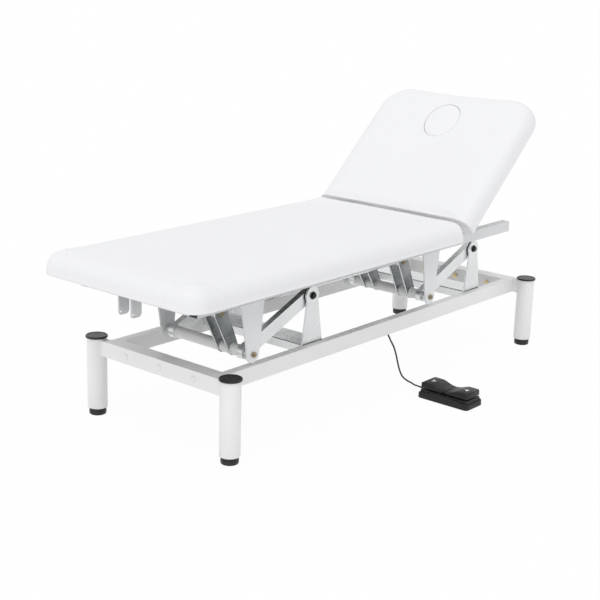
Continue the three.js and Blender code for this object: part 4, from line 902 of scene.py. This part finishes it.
def pad_point(x, y, z, length, half, round_corner, dip):
    """Moves a point of a plain box onto the pad: round in plan at the far end, round along its top."""
    sign = 1 if y >= 0 else -1
    y = abs(y)
    dx, dy = x - (length - round_corner), y - (half - round_corner)
    if dx > 0 and dy > 0:
        dx, dy = rounded(dx, dy)[:2]
        h = math.hypot(dx, dy)
        inset, nx, ny = round_corner - h, dx / h, dy / h
        x, y = length - round_corner + dx, half - round_corner + dy
    elif length - x < half - y:
        inset, nx, ny = length - x, 1.0, 0.0
    else:
        inset, nx, ny = half - y, 0.0, 1.0
    move = 0.0
    if inset < pad_edge and pad_thick - z < pad_edge:
        a, b = pad_edge - inset, pad_edge - (pad_thick - z)
        round_a, round_b, radius, side_on, up_on = rounded(a, b)
        move, z, depth = a - round_a, pad_thick - pad_edge + round_b, pad_edge - radius
    elif inset < pad_under and z < pad_under:
        a, b = pad_under - inset, pad_under - z
        round_a, round_b, radius, side_on, up_on = rounded(a, b)
        move, z, depth, up_on = a - round_a, pad_under - round_b, pad_under - radius, -up_on
    elif inset <= min(z, pad_thick - z):
        depth, side_on, up_on = inset, 1.0, 0.0
    elif z < pad_thick - z:
        depth, side_on, up_on = z, 0.0, -1.0
    else:
        depth, side_on, up_on = pad_thick - z, 0.0, 1.0
    if x < pad_end and depth < pad_end:
        a, b = pad_end - x, pad_end - depth
        round_a, round_b = rounded(a, b)[:2]
        x = pad_end - round_a
        pull = b - round_b
        move += pull * side_on
        z -= pull * up_on
    x, y = x - move * nx, y - move * ny
    rise = max(0.0, min(1.0, (x - (length - 150)) / 150)) ** 2
    if y < half - round_corner:
        x -= dip * rise * math.cos(y / (half - round_corner) * math.pi / 2)
    return x, sign * y, z


def pad_grid(length, half, round_corner, dip):
    """The pad's closed skin, with the pocket for its board."""
    margin = 26.0
    xs = spread([
        0, 1.5, 3, 8, 14, 16, 60, length - 60, length - margin - 2, length - margin, length - 10, length,
    ], 12.5)
    ys = spread([
        -half, -half + 10, -half + margin, -half + margin + 2, -half + 60, half - 60,
        half - margin - 2, half - margin, half - 10, half,
    ], 12.5)
    zs = [0, 3, 6, 10, 20, 30, 40, 50, 60, pad_thick]
    index, points, faces, low = {}, [], [], []

    def vertex(i, j, k):
        if (i, j, k) not in index:
            index[i, j, k] = len(points)
            x, y, z = xs[i], ys[j], zs[k]
            moved = pad_point(x, y, z, length, half, round_corner, dip)
            if k == 0 and 15.5 < x < length - margin - 1 and abs(y) < half - margin - 1:
                cx, cy = x - (length - margin - 50), abs(y) - (half - margin - 50)
                if cx < 0 or cy < 0 or math.hypot(cx, cy) < 49:
                    moved = (moved[0], moved[1], 15.3)
            points.append(moved)
            low.append(k <= 1)
        return index[i, j, k]

    def quad(*places):
        faces.append(tuple(vertex(*place) for place in places))

    nx, ny, nz = len(xs) - 1, len(ys) - 1, len(zs) - 1
    for i in range(nx):
        for j in range(ny):
            quad((i, j, 0), (i, j + 1, 0), (i + 1, j + 1, 0), (i + 1, j, 0))
            quad((i, j, nz), (i + 1, j, nz), (i + 1, j + 1, nz), (i, j + 1, nz))
    for i in range(nx):
        for k in range(nz):
            quad((i, 0, k), (i + 1, 0, k), (i + 1, 0, k + 1), (i, 0, k + 1))
            quad((i, ny, k), (i, ny, k + 1), (i + 1, ny, k + 1), (i + 1, ny, k))
    for j in range(ny):
        for k in range(nz):
            quad((0, j, k), (0, j, k + 1), (0, j + 1, k + 1), (0, j + 1, k))
            quad((nx, j, k), (nx, j + 1, k), (nx, j + 1, k + 1), (nx, j, k + 1))
    return points, faces, low


def inflated(name, points, faces, held, most):
    """Cloth under pressure, held at its underside; no point moves further than most, in mm."""
    item = new_object(name, [Vector(p) * mm for p in points], faces)
    mesh = item.data
    group = item.vertex_groups.new(name="held")
    group.add([i for i, h in enumerate(held) if h], 1.0, "REPLACE")
    skin = item.modifiers.new("skin", "CLOTH")
    cloth = skin.settings
    cloth.quality = 4
    cloth.mass = 0.3
    cloth.tension_stiffness = 30
    cloth.compression_stiffness = 30
    cloth.shear_stiffness = 20
    cloth.bending_stiffness = 2
    cloth.use_pressure = True
    cloth.uniform_pressure_force = 4.0
    cloth.vertex_group_mass = "held"
    cloth.effector_weights.gravity = 0
    last_frame = 20
    skin.point_cache.frame_start, skin.point_cache.frame_end = 1, last_frame
    rest = [v.co.copy() for v in mesh.vertices]
    for number in range(1, last_frame + 1):
        scene.frame_set(number)
    blown = evaluated(item).to_mesh()
    moved = [blown.vertices[i].co - rest[i] for i in range(len(rest))]
    evaluated(item).to_mesh_clear()
    item.modifiers.clear()
    scene.frame_set(1)
    limit = most * mm
    for vertex, start, step in zip(mesh.vertices, rest, moved):
        far = step.length
        vertex.co = start + step * (limit * math.tanh(far / limit) / far if far > 1e-9 else 0)
    return item


def cushion(name, length, round_corner, dip, move):
    """A pad of a length, blown up, subdivided once and set down by move."""
    points, faces, held = pad_grid(length - swell / 2, pad_width / 2 - swell / 2, round_corner, dip)
    low_top = [(x, y, z - (swell if z > 60 else 0) * (z - 60) / 10) for x, y, z in points]
    item = inflated(name, low_top, faces, held, swell_limit)
    finer = item.modifiers.new("finer", "SUBSURF")
    finer.levels = finer.render_levels = 1
    apply_modifiers(item)
    item.data.transform(move)
    smooth(item.data)
    item.data.materials.clear()
    item.data.materials.append(leather)
    return item


def skin_of(item):
    """The skin of a piece as it is now, to measure on."""
    return BVHTree.FromPolygons([v.co for v in item.data.vertices], [p.vertices for p in item.data.polygons])


swell, swell_limit = 3.0, 5.0
seat_length, seat_head, pad_low = 1235.0, 1051.0, 463.0
seat_place = Matrix.Translation(at(seat_head, 0, pad_low)) @ Matrix.Rotation(math.pi, 4, "Z")
seat = cushion("seat_cushion", seat_length, 62.0, 0.0, seat_place)
hand_over(seat, "top", ["seat_pad"])

hinge_x, hinge_z, hinge_gap, back_length, rest_angle = 1067.0, 510.0, 10.0, 561.0, math.radians(42.1)
back_place = Matrix.Translation(at(hinge_x, 0, hinge_z)) @ Matrix.Rotation(-rest_angle, 4, "Y")
back_top, back_low = 23.0, -47.0
back_flat_place = Matrix.Translation(Vector((hinge_gap, 0, back_low)) * mm)
backrest = cushion("backrest_cushion", back_length, 109.0, 7.0, back_flat_place)

# The face hole: an oval opening through the backrest's foam, its edge bound by a welt, that
# the face plug fills.
oval_x, oval_a, oval_b = hinge_gap + back_length - 160.0, 75.0, 65.0
welt, board_top = 2.6, back_low + 15.6


def oval_ring(grow, z):
    """Points round the face hole, in mm, that much outside its edge."""
    turns = [k / 96 * math.tau for k in range(96)]
    return [Vector((oval_x + (oval_a + grow) * math.cos(a), (oval_b + grow) * math.sin(a), z)) for a in turns]


cutter_rings = [[p * mm for p in oval_ring(welt, z)] for z in (board_top, back_top + 40)]
cutter = new_object("hole", *ring_shell(cutter_rings))
opening = backrest.modifiers.new("opening", "BOOLEAN")
opening.operation = "DIFFERENCE"
opening.solver = "EXACT"
opening.object = cutter
skin_tree = skin_of(backrest)
made = apply_modifiers(backrest)
bpy.data.objects.remove(cutter)
smooth(made)
made.set_sharp_from_angle(angle=math.radians(50))
made.transform(back_place)
hand_over(backrest, "backrest", ["backrest_pad"])


def skin_height(p):
    """How high the cushion stood at a place before the hole was cut."""
    hit = skin_tree.ray_cast(Vector((p.x * mm, p.y * mm, 0.2)), Vector((0, 0, -1)))
    return hit[0].z / mm if hit[0] else back_top


welt_line = [Vector((p.x, p.y, skin_height(p) - welt)) * mm for p in oval_ring(welt, 0)]
welt_shell = set_down(bead_shell(welt_line, welt, sides=16), back_place)
piece("hole_welt", [welt_shell], leather, "backrest", "upholstery", edge=0)

plug_profile = (
    (-24, None), (-1.0, -38.0), (-0.6, -20.0), (-0.5, -6.0), (-0.9, -3.4), (-2.0, -1.5), (-3.6, -0.6),
    (-6.0, -0.1), (-12, 0.5), (-22, 1.1), (-34, 1.6), (-46, 1.9), (-56, 2.1), (-62, 2.15),
)
plug_rings = []
for grow, drop in plug_profile:
    ring = []
    for p in oval_ring(grow, 0):
        z = board_top if drop is None else max(board_top, skin_height(p) + drop)
        ring.append(back_place @ (Vector((p.x, p.y, z)) * mm))
    plug_rings.append(ring)
plug = piece(
    "face_plug_made", [ring_shell(plug_rings)], leather, "plug", "upholstery", ["face_plug"],
    edge=0, corner_angle=60,
)

# Seams: the corner caps of the foot end are sewn on along an upright plane across the corner.
# A raised seam with a row of stitches beside it follows the cushion's own skin; the seam is
# coloured a little darker than the leather, as a painted shadow line.
thread = surface("white thread", (0.86, 0.86, 0.875), 0.7, (3000, 0.1, 0.5, (1, 1, 3)))
# Painted shadow: the seam edge is coloured a shade darker than the leather.
seam_painted_shade = surface("seam edge", (0.86, 0.86, 0.875), 0.6, (900, 0.08, 0.3))
seat_tree = skin_of(seat)
seam_reach, seam_radius, flatten = 130.0, 0.75, 0.8
seam_lift, stitch_lift, gap, offset = 0.0001, 0.00012, 0.0052, 0.0032
stitch_places, stitch_turns, seam_shells = [], [], []
for sign in (-1, 1):
    end_point = at(-184, sign * (pad_width / 2 - seam_reach), 488)
    side_point = at(-184 + seam_reach, sign * pad_width / 2, 488)
    middle = (end_point + side_point) / 2
    level = (side_point - end_point).normalized()
    line, outward = [], []
    for k in range(61):
        a = math.radians(-14 + 208 * k / 60)
        direction = level * math.cos(a) + Vector((0, 0, 1)) * math.sin(a) * flatten
        hit, normal, _, _ = seat_tree.ray_cast(middle, direction.normalized())
        if hit is not None:
            line.append(hit)
            outward.append(normal if normal.dot(direction) > 0 else -normal)
    seam_line = [p + o * seam_lift for p, o in zip(line, outward)]
    seam_shells.append(bead_shell(seam_line, seam_radius, looped=False))
    travelled = 0.0
    inward = Vector((-level.y, level.x, 0))
    if inward.dot(at(0, 0, 0) - middle) < 0:
        inward = -inward
    for a, b, o in zip(line, line[1:], outward):
        step = b - a
        travelled += step.length
        if travelled < gap:
            continue
        travelled -= gap
        along = step.normalized()
        beside = o.cross(along).normalized()
        if beside.dot(inward) < 0:
            beside = -beside
        spot = seat_tree.find_nearest(b + beside * offset)[0]
        stitch_places.append(spot + o * stitch_lift)
        up = o - along * o.dot(along)
        frame_of = Matrix((along, up.normalized().cross(along), up.normalized())).transposed()
        stitch_turns.append(tuple(frame_of.to_euler()))
piece("corner_seams", seam_shells, seam_painted_shade, "top", "upholstery", edge=0)
stitch = along_x(-1.9, -0.9, [(0.12, 0), (0.3, 0.3), (0.34, 1.0), (0.34, 2.8), (0.3, 3.5), (0.12, 3.8)], 8)
repeated("corner_stitches", [stitch], stitch_places, stitch_turns, thread, "top")

# Dust covers: black non-woven cloth stapled over the boards' undersides, with the breathing
# hole left open under the face plug.
dust_cloth = surface(
    "black non-woven cloth", (0.02, 0.02, 0.021), 0.85, (1500, 0.15, 0.5, even, "ShaderNodeTexVoronoi"),
    colours=(300, (0.014, 0.014, 0.015), (0.032, 0.032, 0.034)), inputs={"Sheen Weight": 0.15},
)
staple_steel = surface("staple wire", (0.6, 0.6, 0.6), 0.35, (2000, 0.03, 0.3), metallic=1.0)
breath_share = 0.78


def rounded_outline(x0, x1, half, radius, steps=10):
    """A rectangle from x0 to x1, half as wide each side, with its corners rounded."""
    ring = []
    for cx, cy, a0 in (
        (x1 - radius, half - radius, 0), (x0 + radius, half - radius, 90),
        (x0 + radius, radius - half, 180), (x1 - radius, radius - half, 270),
    ):
        for k in range(steps + 1):
            a = math.radians(a0 + 90 * k / steps)
            ring.append((cx + radius * math.cos(a), cy + radius * math.sin(a)))
    return ring


def cover_shell(outline, z0, z1, holes=()):
    """A level sheet between two heights, in mm about its own zero."""
    rings = [outline, *holes]
    total = sum(len(r) for r in rings)
    points = [Vector((x, y, z)) * mm for z in (z0, z1) for ring in rings for x, y in ring]
    faces, start = [], 0
    for number, ring in enumerate(rings):
        for i in range(len(ring)):
            a, b = start + i, start + (i + 1) % len(ring)
            faces.append((a, b, b + total, a + total) if number == 0 else (b, a, a + total, b + total))
        start += len(ring)
    flat = [[Vector((x, y, 0)) for x, y in ring] for ring in rings]
    spots = [p for ring in flat for p in ring]
    for tri in tessellate_polygon(flat):
        a, b, c = (spots[i] for i in tri)
        up = tri if (b - a).cross(c - a).z > 0 else tri[::-1]
        faces.append(tuple(up[::-1]))
        faces.append(tuple(total + i for i in up))
    return points, faces


def dust_cover(name, length, low, place, body, holes):
    """A thin cover under a board with round corners, and a row of staples inside its edge."""
    x0, x1, half, radius = 18, length - 30, pad_width / 2 - 30, 46
    outline = rounded_outline(x0, x1, half, radius)
    shell = set_down(cover_shell(outline, low - 0.16, low - 0.04, holes), place)
    item = piece(name, [shell], dust_cloth, body, "black_plastic", edge=0)
    area = (x1 - x0) * 2 * half * mm * mm - (4 - math.pi) * radius * radius * mm * mm
    if holes:
        area -= math.pi * oval_a * oval_b * breath_share ** 2 * mm * mm
    spots, turns = [], []
    edge_in, staple_step, least_gap = 6, 45, 30
    inner = rounded_outline(x0 + edge_in, x1 - edge_in, half - edge_in, radius - edge_in)
    travelled = 0.0
    for (x0, y0), (x1, y1) in zip(inner, inner[1:] + inner[:1]):
        run = math.hypot(x1 - x0, y1 - y0)
        steps = max(1, round(run / staple_step))
        for k in range(steps):
            travelled += run / steps
            if travelled < least_gap:
                continue
            travelled = 0.0
            t = (k + 0.5) / steps
            spots.append(place @ (Vector((x0 + (x1 - x0) * t, y0 + (y1 - y0) * t, low - 0.2)) * mm))
            local = Matrix.Rotation(math.atan2(y1 - y0, x1 - x0), 4, "Z")
            turns.append(tuple((place.to_3x3() @ local.to_3x3()).to_euler()))
    wire = along_x(-5, -4, [(0.15, 0), (0.3, 0.2), (0.3, 9.8), (0.15, 10)], 6)
    repeated(f"{name}_staples", [wire], spots, turns, staple_steel, body)


turns = [k / 64 * math.tau for k in range(64)]
breath_a, breath_b = breath_share * oval_a, breath_share * oval_b
breath = [(oval_x - hinge_gap + breath_a * math.cos(a), breath_b * math.sin(a)) for a in turns]
dust_cover("seat_dust_cover", seat_length, -0.7, seat_place, "top", [])
back_flat = back_place @ Matrix.Translation(Vector((hinge_gap, 0, 0)) * mm)
dust_cover("backrest_dust_cover", back_length, back_low, back_flat, "backrest", [breath])

# Backrest frame: square tubes screwed under the backrest's board, with a hook plate on each
# side that takes the hinge pin, and lugs for the gas spring.
tube_top, tube_low, back_y = -47.3, -67.3, 182.0


def tilted(shell):
    """Puts a shell drawn in the flat backrest's millimetres on the tilt."""
    points, faces = shell
    return [back_place @ (p - corner) for p in points], faces


shells = []
for y in (-back_y, back_y):
    shells.append(tilted(box_shell(14, 350, y - 10, y + 10, tube_low, tube_top)))
for x0, x1 in ((330.3, 349.7), (110, 130)):
    shells.append(tilted(box_shell(x0, x1, -back_y + 8, back_y - 8, tube_low + 0.2, tube_top - 0.2)))
piece("backrest_tubes", shells, grey_coat, "backrest", "white_coat", ["backrest_frame"], edge=1.6, steps=3)
shells = []
hook = [(8.4, 0.0), *arc(0, 0, 8, 0, math.pi, 16)[1:], (-8, tube_low), (90, tube_low)]
hook += [(90, tube_top - 0.3), (8.4, tube_top - 0.3)]
for sign in (-1, 1):
    shells.append(tilted(plate_shell(hook, sign * (back_y + 9.4), sign * (back_y + 15.5))))
for sign in (-1, 1):
    inner = -60 + sign * 8.5
    strap = strap_outline(120, -84, 9, 120, tube_low + 9, 9)
    shells.append(tilted(plate_shell(strap, inner, inner + sign * 4)))
piece("backrest_hooks", shells, grey_coat, "backrest", "white_coat", ["backrest_frame"], edge=0.6)
for side, sign in both_sides:
    bars = ((187.7, 210.3, 8, 28), (187.7, 190.7, 14, 36), (207.4, 210.3, 14, 36))
    shells = [tilted(bar_across(0, 0, sign * y0, sign * y1, d, 0.5, n)) for y0, y1, d, n in bars]
    piece(f"hinge_pin_{side}_made", shells, zinc, "backrest", "zinc", [f"hinge_pin_{side}"], edge=0)

# Gas spring: a black cylinder and a bright rod between the upper frame and the backrest, which
# hold the backrest at the angle it is set to.
spring_black = surface(
    "black gloss paint", (0.014, 0.014, 0.015), 0.24, (500, 0.04, 0.15), sheens=(50, 0.2, 0.32),
)
spring_y = -60.0
spring_low = at(spring_x, spring_y, spring_z)
spring_high = back_place @ (Vector((120, spring_y, -84)) * mm)
reach = (spring_high - spring_low).length / mm
toward = (spring_high - spring_low).normalized()
across_y = Vector((0, 8, 0)) * mm
shells = [
    bar_shell(spring_low - across_y, spring_low + across_y, 13, 0.6, 32),
    rod_shell(spring_low + toward * 0.005, spring_high, [(4.5, 0), (4.5, 6)], 28),
    rod_shell(spring_low + toward * 0.009, spring_high, [
        (6.5, 0), (8.4, 0.8), (9, 2.4), (9, 97.5), (8.6, 98.6), (7.4, 100), (5.2, 101),
    ], 48),
]
piece(
    "gas_cylinder_made", shells, spring_black, "gas_cylinder", "black_steel", ["gas_spring_cylinder"],
    edge=0, corner_angle=40,
)
shells = [
    rod_shell(spring_high - toward * 0.107, spring_high, [(4.5, 0), (4.5, 103)], 28),
    bar_shell(spring_high - across_y, spring_high + across_y, 13, 0.6, 32),
]
piece("gas_rod_made", shells, bright, "gas_rod", "bright_steel", ["gas_spring_rod"], edge=0, corner_angle=40)

# Control box: a black plastic case screwed to the inside of the near rail, with a mains inlet
# in its foot end. Nothing of it shows from the usual side.
case_black = surface(
    "black case plastic", (0.022, 0.022, 0.023), 0.5, (800, 0.12, 0.45), sheens=(70, 0.44, 0.58),
)
cover_nodes(("control_box", "mains_inlet", "cord_clip_1", "cord_clip_2"), case_black)

# Foot-switch cord: a thin black PVC cord from the control box along the rail through two
# clips, then down and round to the switch, with a tapered strain relief at each end.
cord_jacket = surface("black PVC", (0.012, 0.012, 0.012), 0.42, (900, 0.08, 0.3), sheens=(90, 0.36, 0.5))
cord_diameter = 5.5
cord_route = [
    (308, -186, 197), (342, -186, 197), (400, -195, 197), (450, -199, 196.8), (520, -199.5, 196.8),
    (620, -199.5, 196.8), (720, -199.5, 196.8), (775, -199.5, 196.4), (803, -199.7, 191),
    (819, -199.5, 177), (834, -201.5, 153), (852, -203, 126), (867, -203, 95), (878, -203, 66),
    (889, -204, 38), (899, -210, 15), (903, -224, 4.6), (897, -245, 3.6), (885, -270, 4.2),
    (872, -294, 9), (866, -304, 11), (866, -317.4, 11),
]


def between(p, q, u, a, b):
    """The place at u on the way from p at a to q at b."""
    return p * ((b - u) / (b - a)) + q * ((u - a) / (b - a))


def smooth_route(places, steps):
    """Centripetal curve through chosen places, as evenly as their spacing."""
    pts = [at(*p) for p in places]
    pts = [pts[0] * 2 - pts[1], *pts, pts[-1] * 2 - pts[-2]]
    out = []
    for i in range(1, len(pts) - 2):
        p0, p1, p2, p3 = pts[i - 1:i + 3]
        t = [0.0]
        for a, b in ((p0, p1), (p1, p2), (p2, p3)):
            t.append(t[-1] + max((b - a).length, 1e-6) ** 0.5)
        for k in range(steps):
            u = t[1] + (t[2] - t[1]) * k / steps
            first = between(p0, p1, u, t[0], t[1])
            second = between(p1, p2, u, t[1], t[2])
            third = between(p2, p3, u, t[2], t[3])
            early = between(first, second, u, t[0], t[2])
            late = between(second, third, u, t[1], t[3])
            out.append(between(early, late, u, t[1], t[2]))
    return [*out, pts[-2]]


route = smooth_route(cord_route, 12)
cord_piece = piece(
    "switch_cord_made", [bead_shell(route, cord_diameter / 2, looped=False, sides=20)], cord_jacket, "base",
    "cord_jacket", ["switch_cord"], edge=0, corner_angle=50,
)
relief = [(7.5, 0), (7.5, 1.4), (7.1, 2.0), (5.6, 2.2)]
for k in range(5):
    start = 3.4 + k * 3.4
    size = 5.5 - k * 0.33
    relief += [(size, start), (size - 0.1, start + 1.6), (size - 0.9, start + 1.8), (size - 1.0, start + 2.9)]
relief += [(4.0, 20.6), (3.6, 22.0)]
gland_mouth = route[-1]
gland_seat = gland_mouth + Vector((0, -22.3, 0)) * mm
switch_relief = piece(
    "switch_relief", [rod_shell(gland_seat, gland_mouth, relief, 40)], black_plastic, "base", "black_plastic",
    ["switch_gland"], edge=0, corner_angle=40,
)
box_low, box_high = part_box("box_gland")
box_seat = Vector((box_low.x, route[0].y, route[0].z))
box_length = (box_high.x - box_low.x) / mm
box_relief = piece(
    "box_relief", [rod_shell(box_seat, route[0], [(r, h * box_length / 22) for r, h in relief], 40)],
    black_plastic, "base", "black_plastic", ["box_gland"], edge=0, corner_angle=40,
)

# Foot switch: a low black housing with an arched skirt on rubber pads, and two rocking treads
# that meet in a dip. Each tread has a plain white arrow, down and up.
switch_low, switch_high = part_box("switch_housing")
mid_x, mid_y = (switch_low.x + switch_high.x) / 2, (switch_low.y + switch_high.y) / 2
half_x, half_y = (switch_high.x - switch_low.x) / 2 / mm, (switch_high.y - switch_low.y) / 2 / mm
switch_plastic = surface(
    "switch plastic", (0.013, 0.013, 0.014), 0.34, (1100, 0.12, 0.4),
    colours=(200, (0.01, 0.01, 0.011), (0.017, 0.017, 0.018)), sheens=(80, 0.34, 0.48),
    inputs={"Specular IOR Level": 0.3},
)


def switch_ring(inset, height, arch=0.0):
    """A rounded rectangle on the switch; arch lifts its middle along the long sides."""
    hx, hy = half_x - inset, half_y - inset
    round_ends = rounded_outline(-hx, hx, hy, max(14 - inset, 2), 9)
    corners = [round_ends[i:i + 10] for i in range(0, 40, 10)]
    ring = []
    for now, following in zip(corners, corners[1:] + corners[:1]):
        ring += now
        (x0, y0), (x1, y1) = now[-1], following[0]
        ring += [(x0 + (x1 - x0) * k / 14, y0 + (y1 - y0) * k / 14) for k in range(1, 14)]
    made = []
    for x, y in ring:
        rise = arch * max(0.0, math.cos(y / hy * math.pi / 2)) ** 0.8
        made.append(Vector((mid_x + x * mm, mid_y + y * mm, (height + rise) * mm)))
    return made


skirt = (
    (4, 3), (1.2, 3), (0.3, 3.8), (0, 5.5), (0.6, 18, 8), (1.0, 19.4, 9.4), (2.2, 20.2, 10), (4.4, 20.4, 9),
    (5.8, 20.2, 8), (6.4, 20.4, 7), (6.8, 29.6), (7.8, 30.8), (14, 31.0),
)
shells = [ring_shell([switch_ring(*level) for level in skirt])]
for sx in (-1, 1):
    for sy in (-1, 1):
        spot = Vector((mid_x + sx * (half_x - 18) * mm, mid_y + sy * (half_y - 18) * mm, 0))
        shells.append(rod_shell(spot, spot + Vector((0, 0, 1)), [(6.2, 0), (7, 0.6), (7, 3.3)], 32))
piece(
    "switch_body", shells, switch_plastic, "base", "black_plastic", ["switch_housing"],
    edge=0, corner_angle=38,
)

tread_half, tread_top, tread_under, tread_dip = 37.0, 54.0, 36.0, 42.0
arrow_white = surface("white print", (0.82, 0.82, 0.82), 0.5, (1200, 0.05, 0.3))
for side, sign in both_sides:
    outline = [(1.5, tread_under), (half_y - 9, tread_under)]
    outline += [(half_y - 9, tread_top - 5)] + arc(half_y - 14, tread_top - 5, 5, 0, math.pi / 2, 8)[1:]
    start, rise = 1.5, 26.0
    pulls = (
        (start + 2 * rise, tread_top), (start + rise * 1.4, tread_top),
        (start + rise * 0.9, tread_dip), (start, tread_dip),
    )
    for k in range(17):
        t = k / 16
        weights = ((1 - t) ** 3, 3 * t * (1 - t) ** 2, 3 * t * t * (1 - t), t ** 3)
        outline.append(tuple(sum(w * p[i] for w, p in zip(weights, pulls)) for i in (0, 1)))
    rings = []
    for across, shrink in (
        (-tread_half, 2.2), (-tread_half + 0.7, 0.8), (-tread_half + 2.2, 0),
        (tread_half - 2.2, 0), (tread_half - 0.7, 0.8), (tread_half, 2.2),
    ):
        rings.append([
            Vector((
                mid_x + across * mm,
                mid_y + sign * max(y - shrink if y > 10 else y + shrink * 0.3, 1.5) * mm,
                (z - shrink if z > tread_under + 1 else z + shrink * 0.4) * mm,
            )) for y, z in outline
        ])
    if sign > 0:
        rings = rings[::-1]
    shells = [ring_shell(rings)]
    rib_y = mid_y + sign * 16 * mm
    rib_ends = [Vector((mid_x + x * mm, rib_y, 34 * mm)) for x in (-35, 35)]
    shells.append(rod_shell(*rib_ends, [(2.6, 0), (2.6, 70)], 20))
    piece(
        f"tread_{side}_made", shells, switch_plastic, f"tread_{side}", "black_plastic",
        [f"switch_tread_{side}"], edge=0, corner_angle=40,
    )
    tip, base, wing = sign * (half_y - 42), sign * (half_y - 28), sign * 9
    corners = [(0, tip), (wing, base), (-wing, base)]
    levels = (tread_top - 0.2, tread_top + 0.12)
    arrow_points = [Vector((mid_x + x * mm, mid_y + y * mm, z * mm)) for z in levels for x, y in corners]
    arrow_faces = [(0, 2, 1), (3, 4, 5), (0, 1, 4, 3), (1, 2, 5, 4), (2, 0, 3, 5)]
    arrow = (arrow_points, arrow_faces)
    piece(f"arrow_{side}", [arrow], arrow_white, f"tread_{side}", "black_plastic", edge=0)
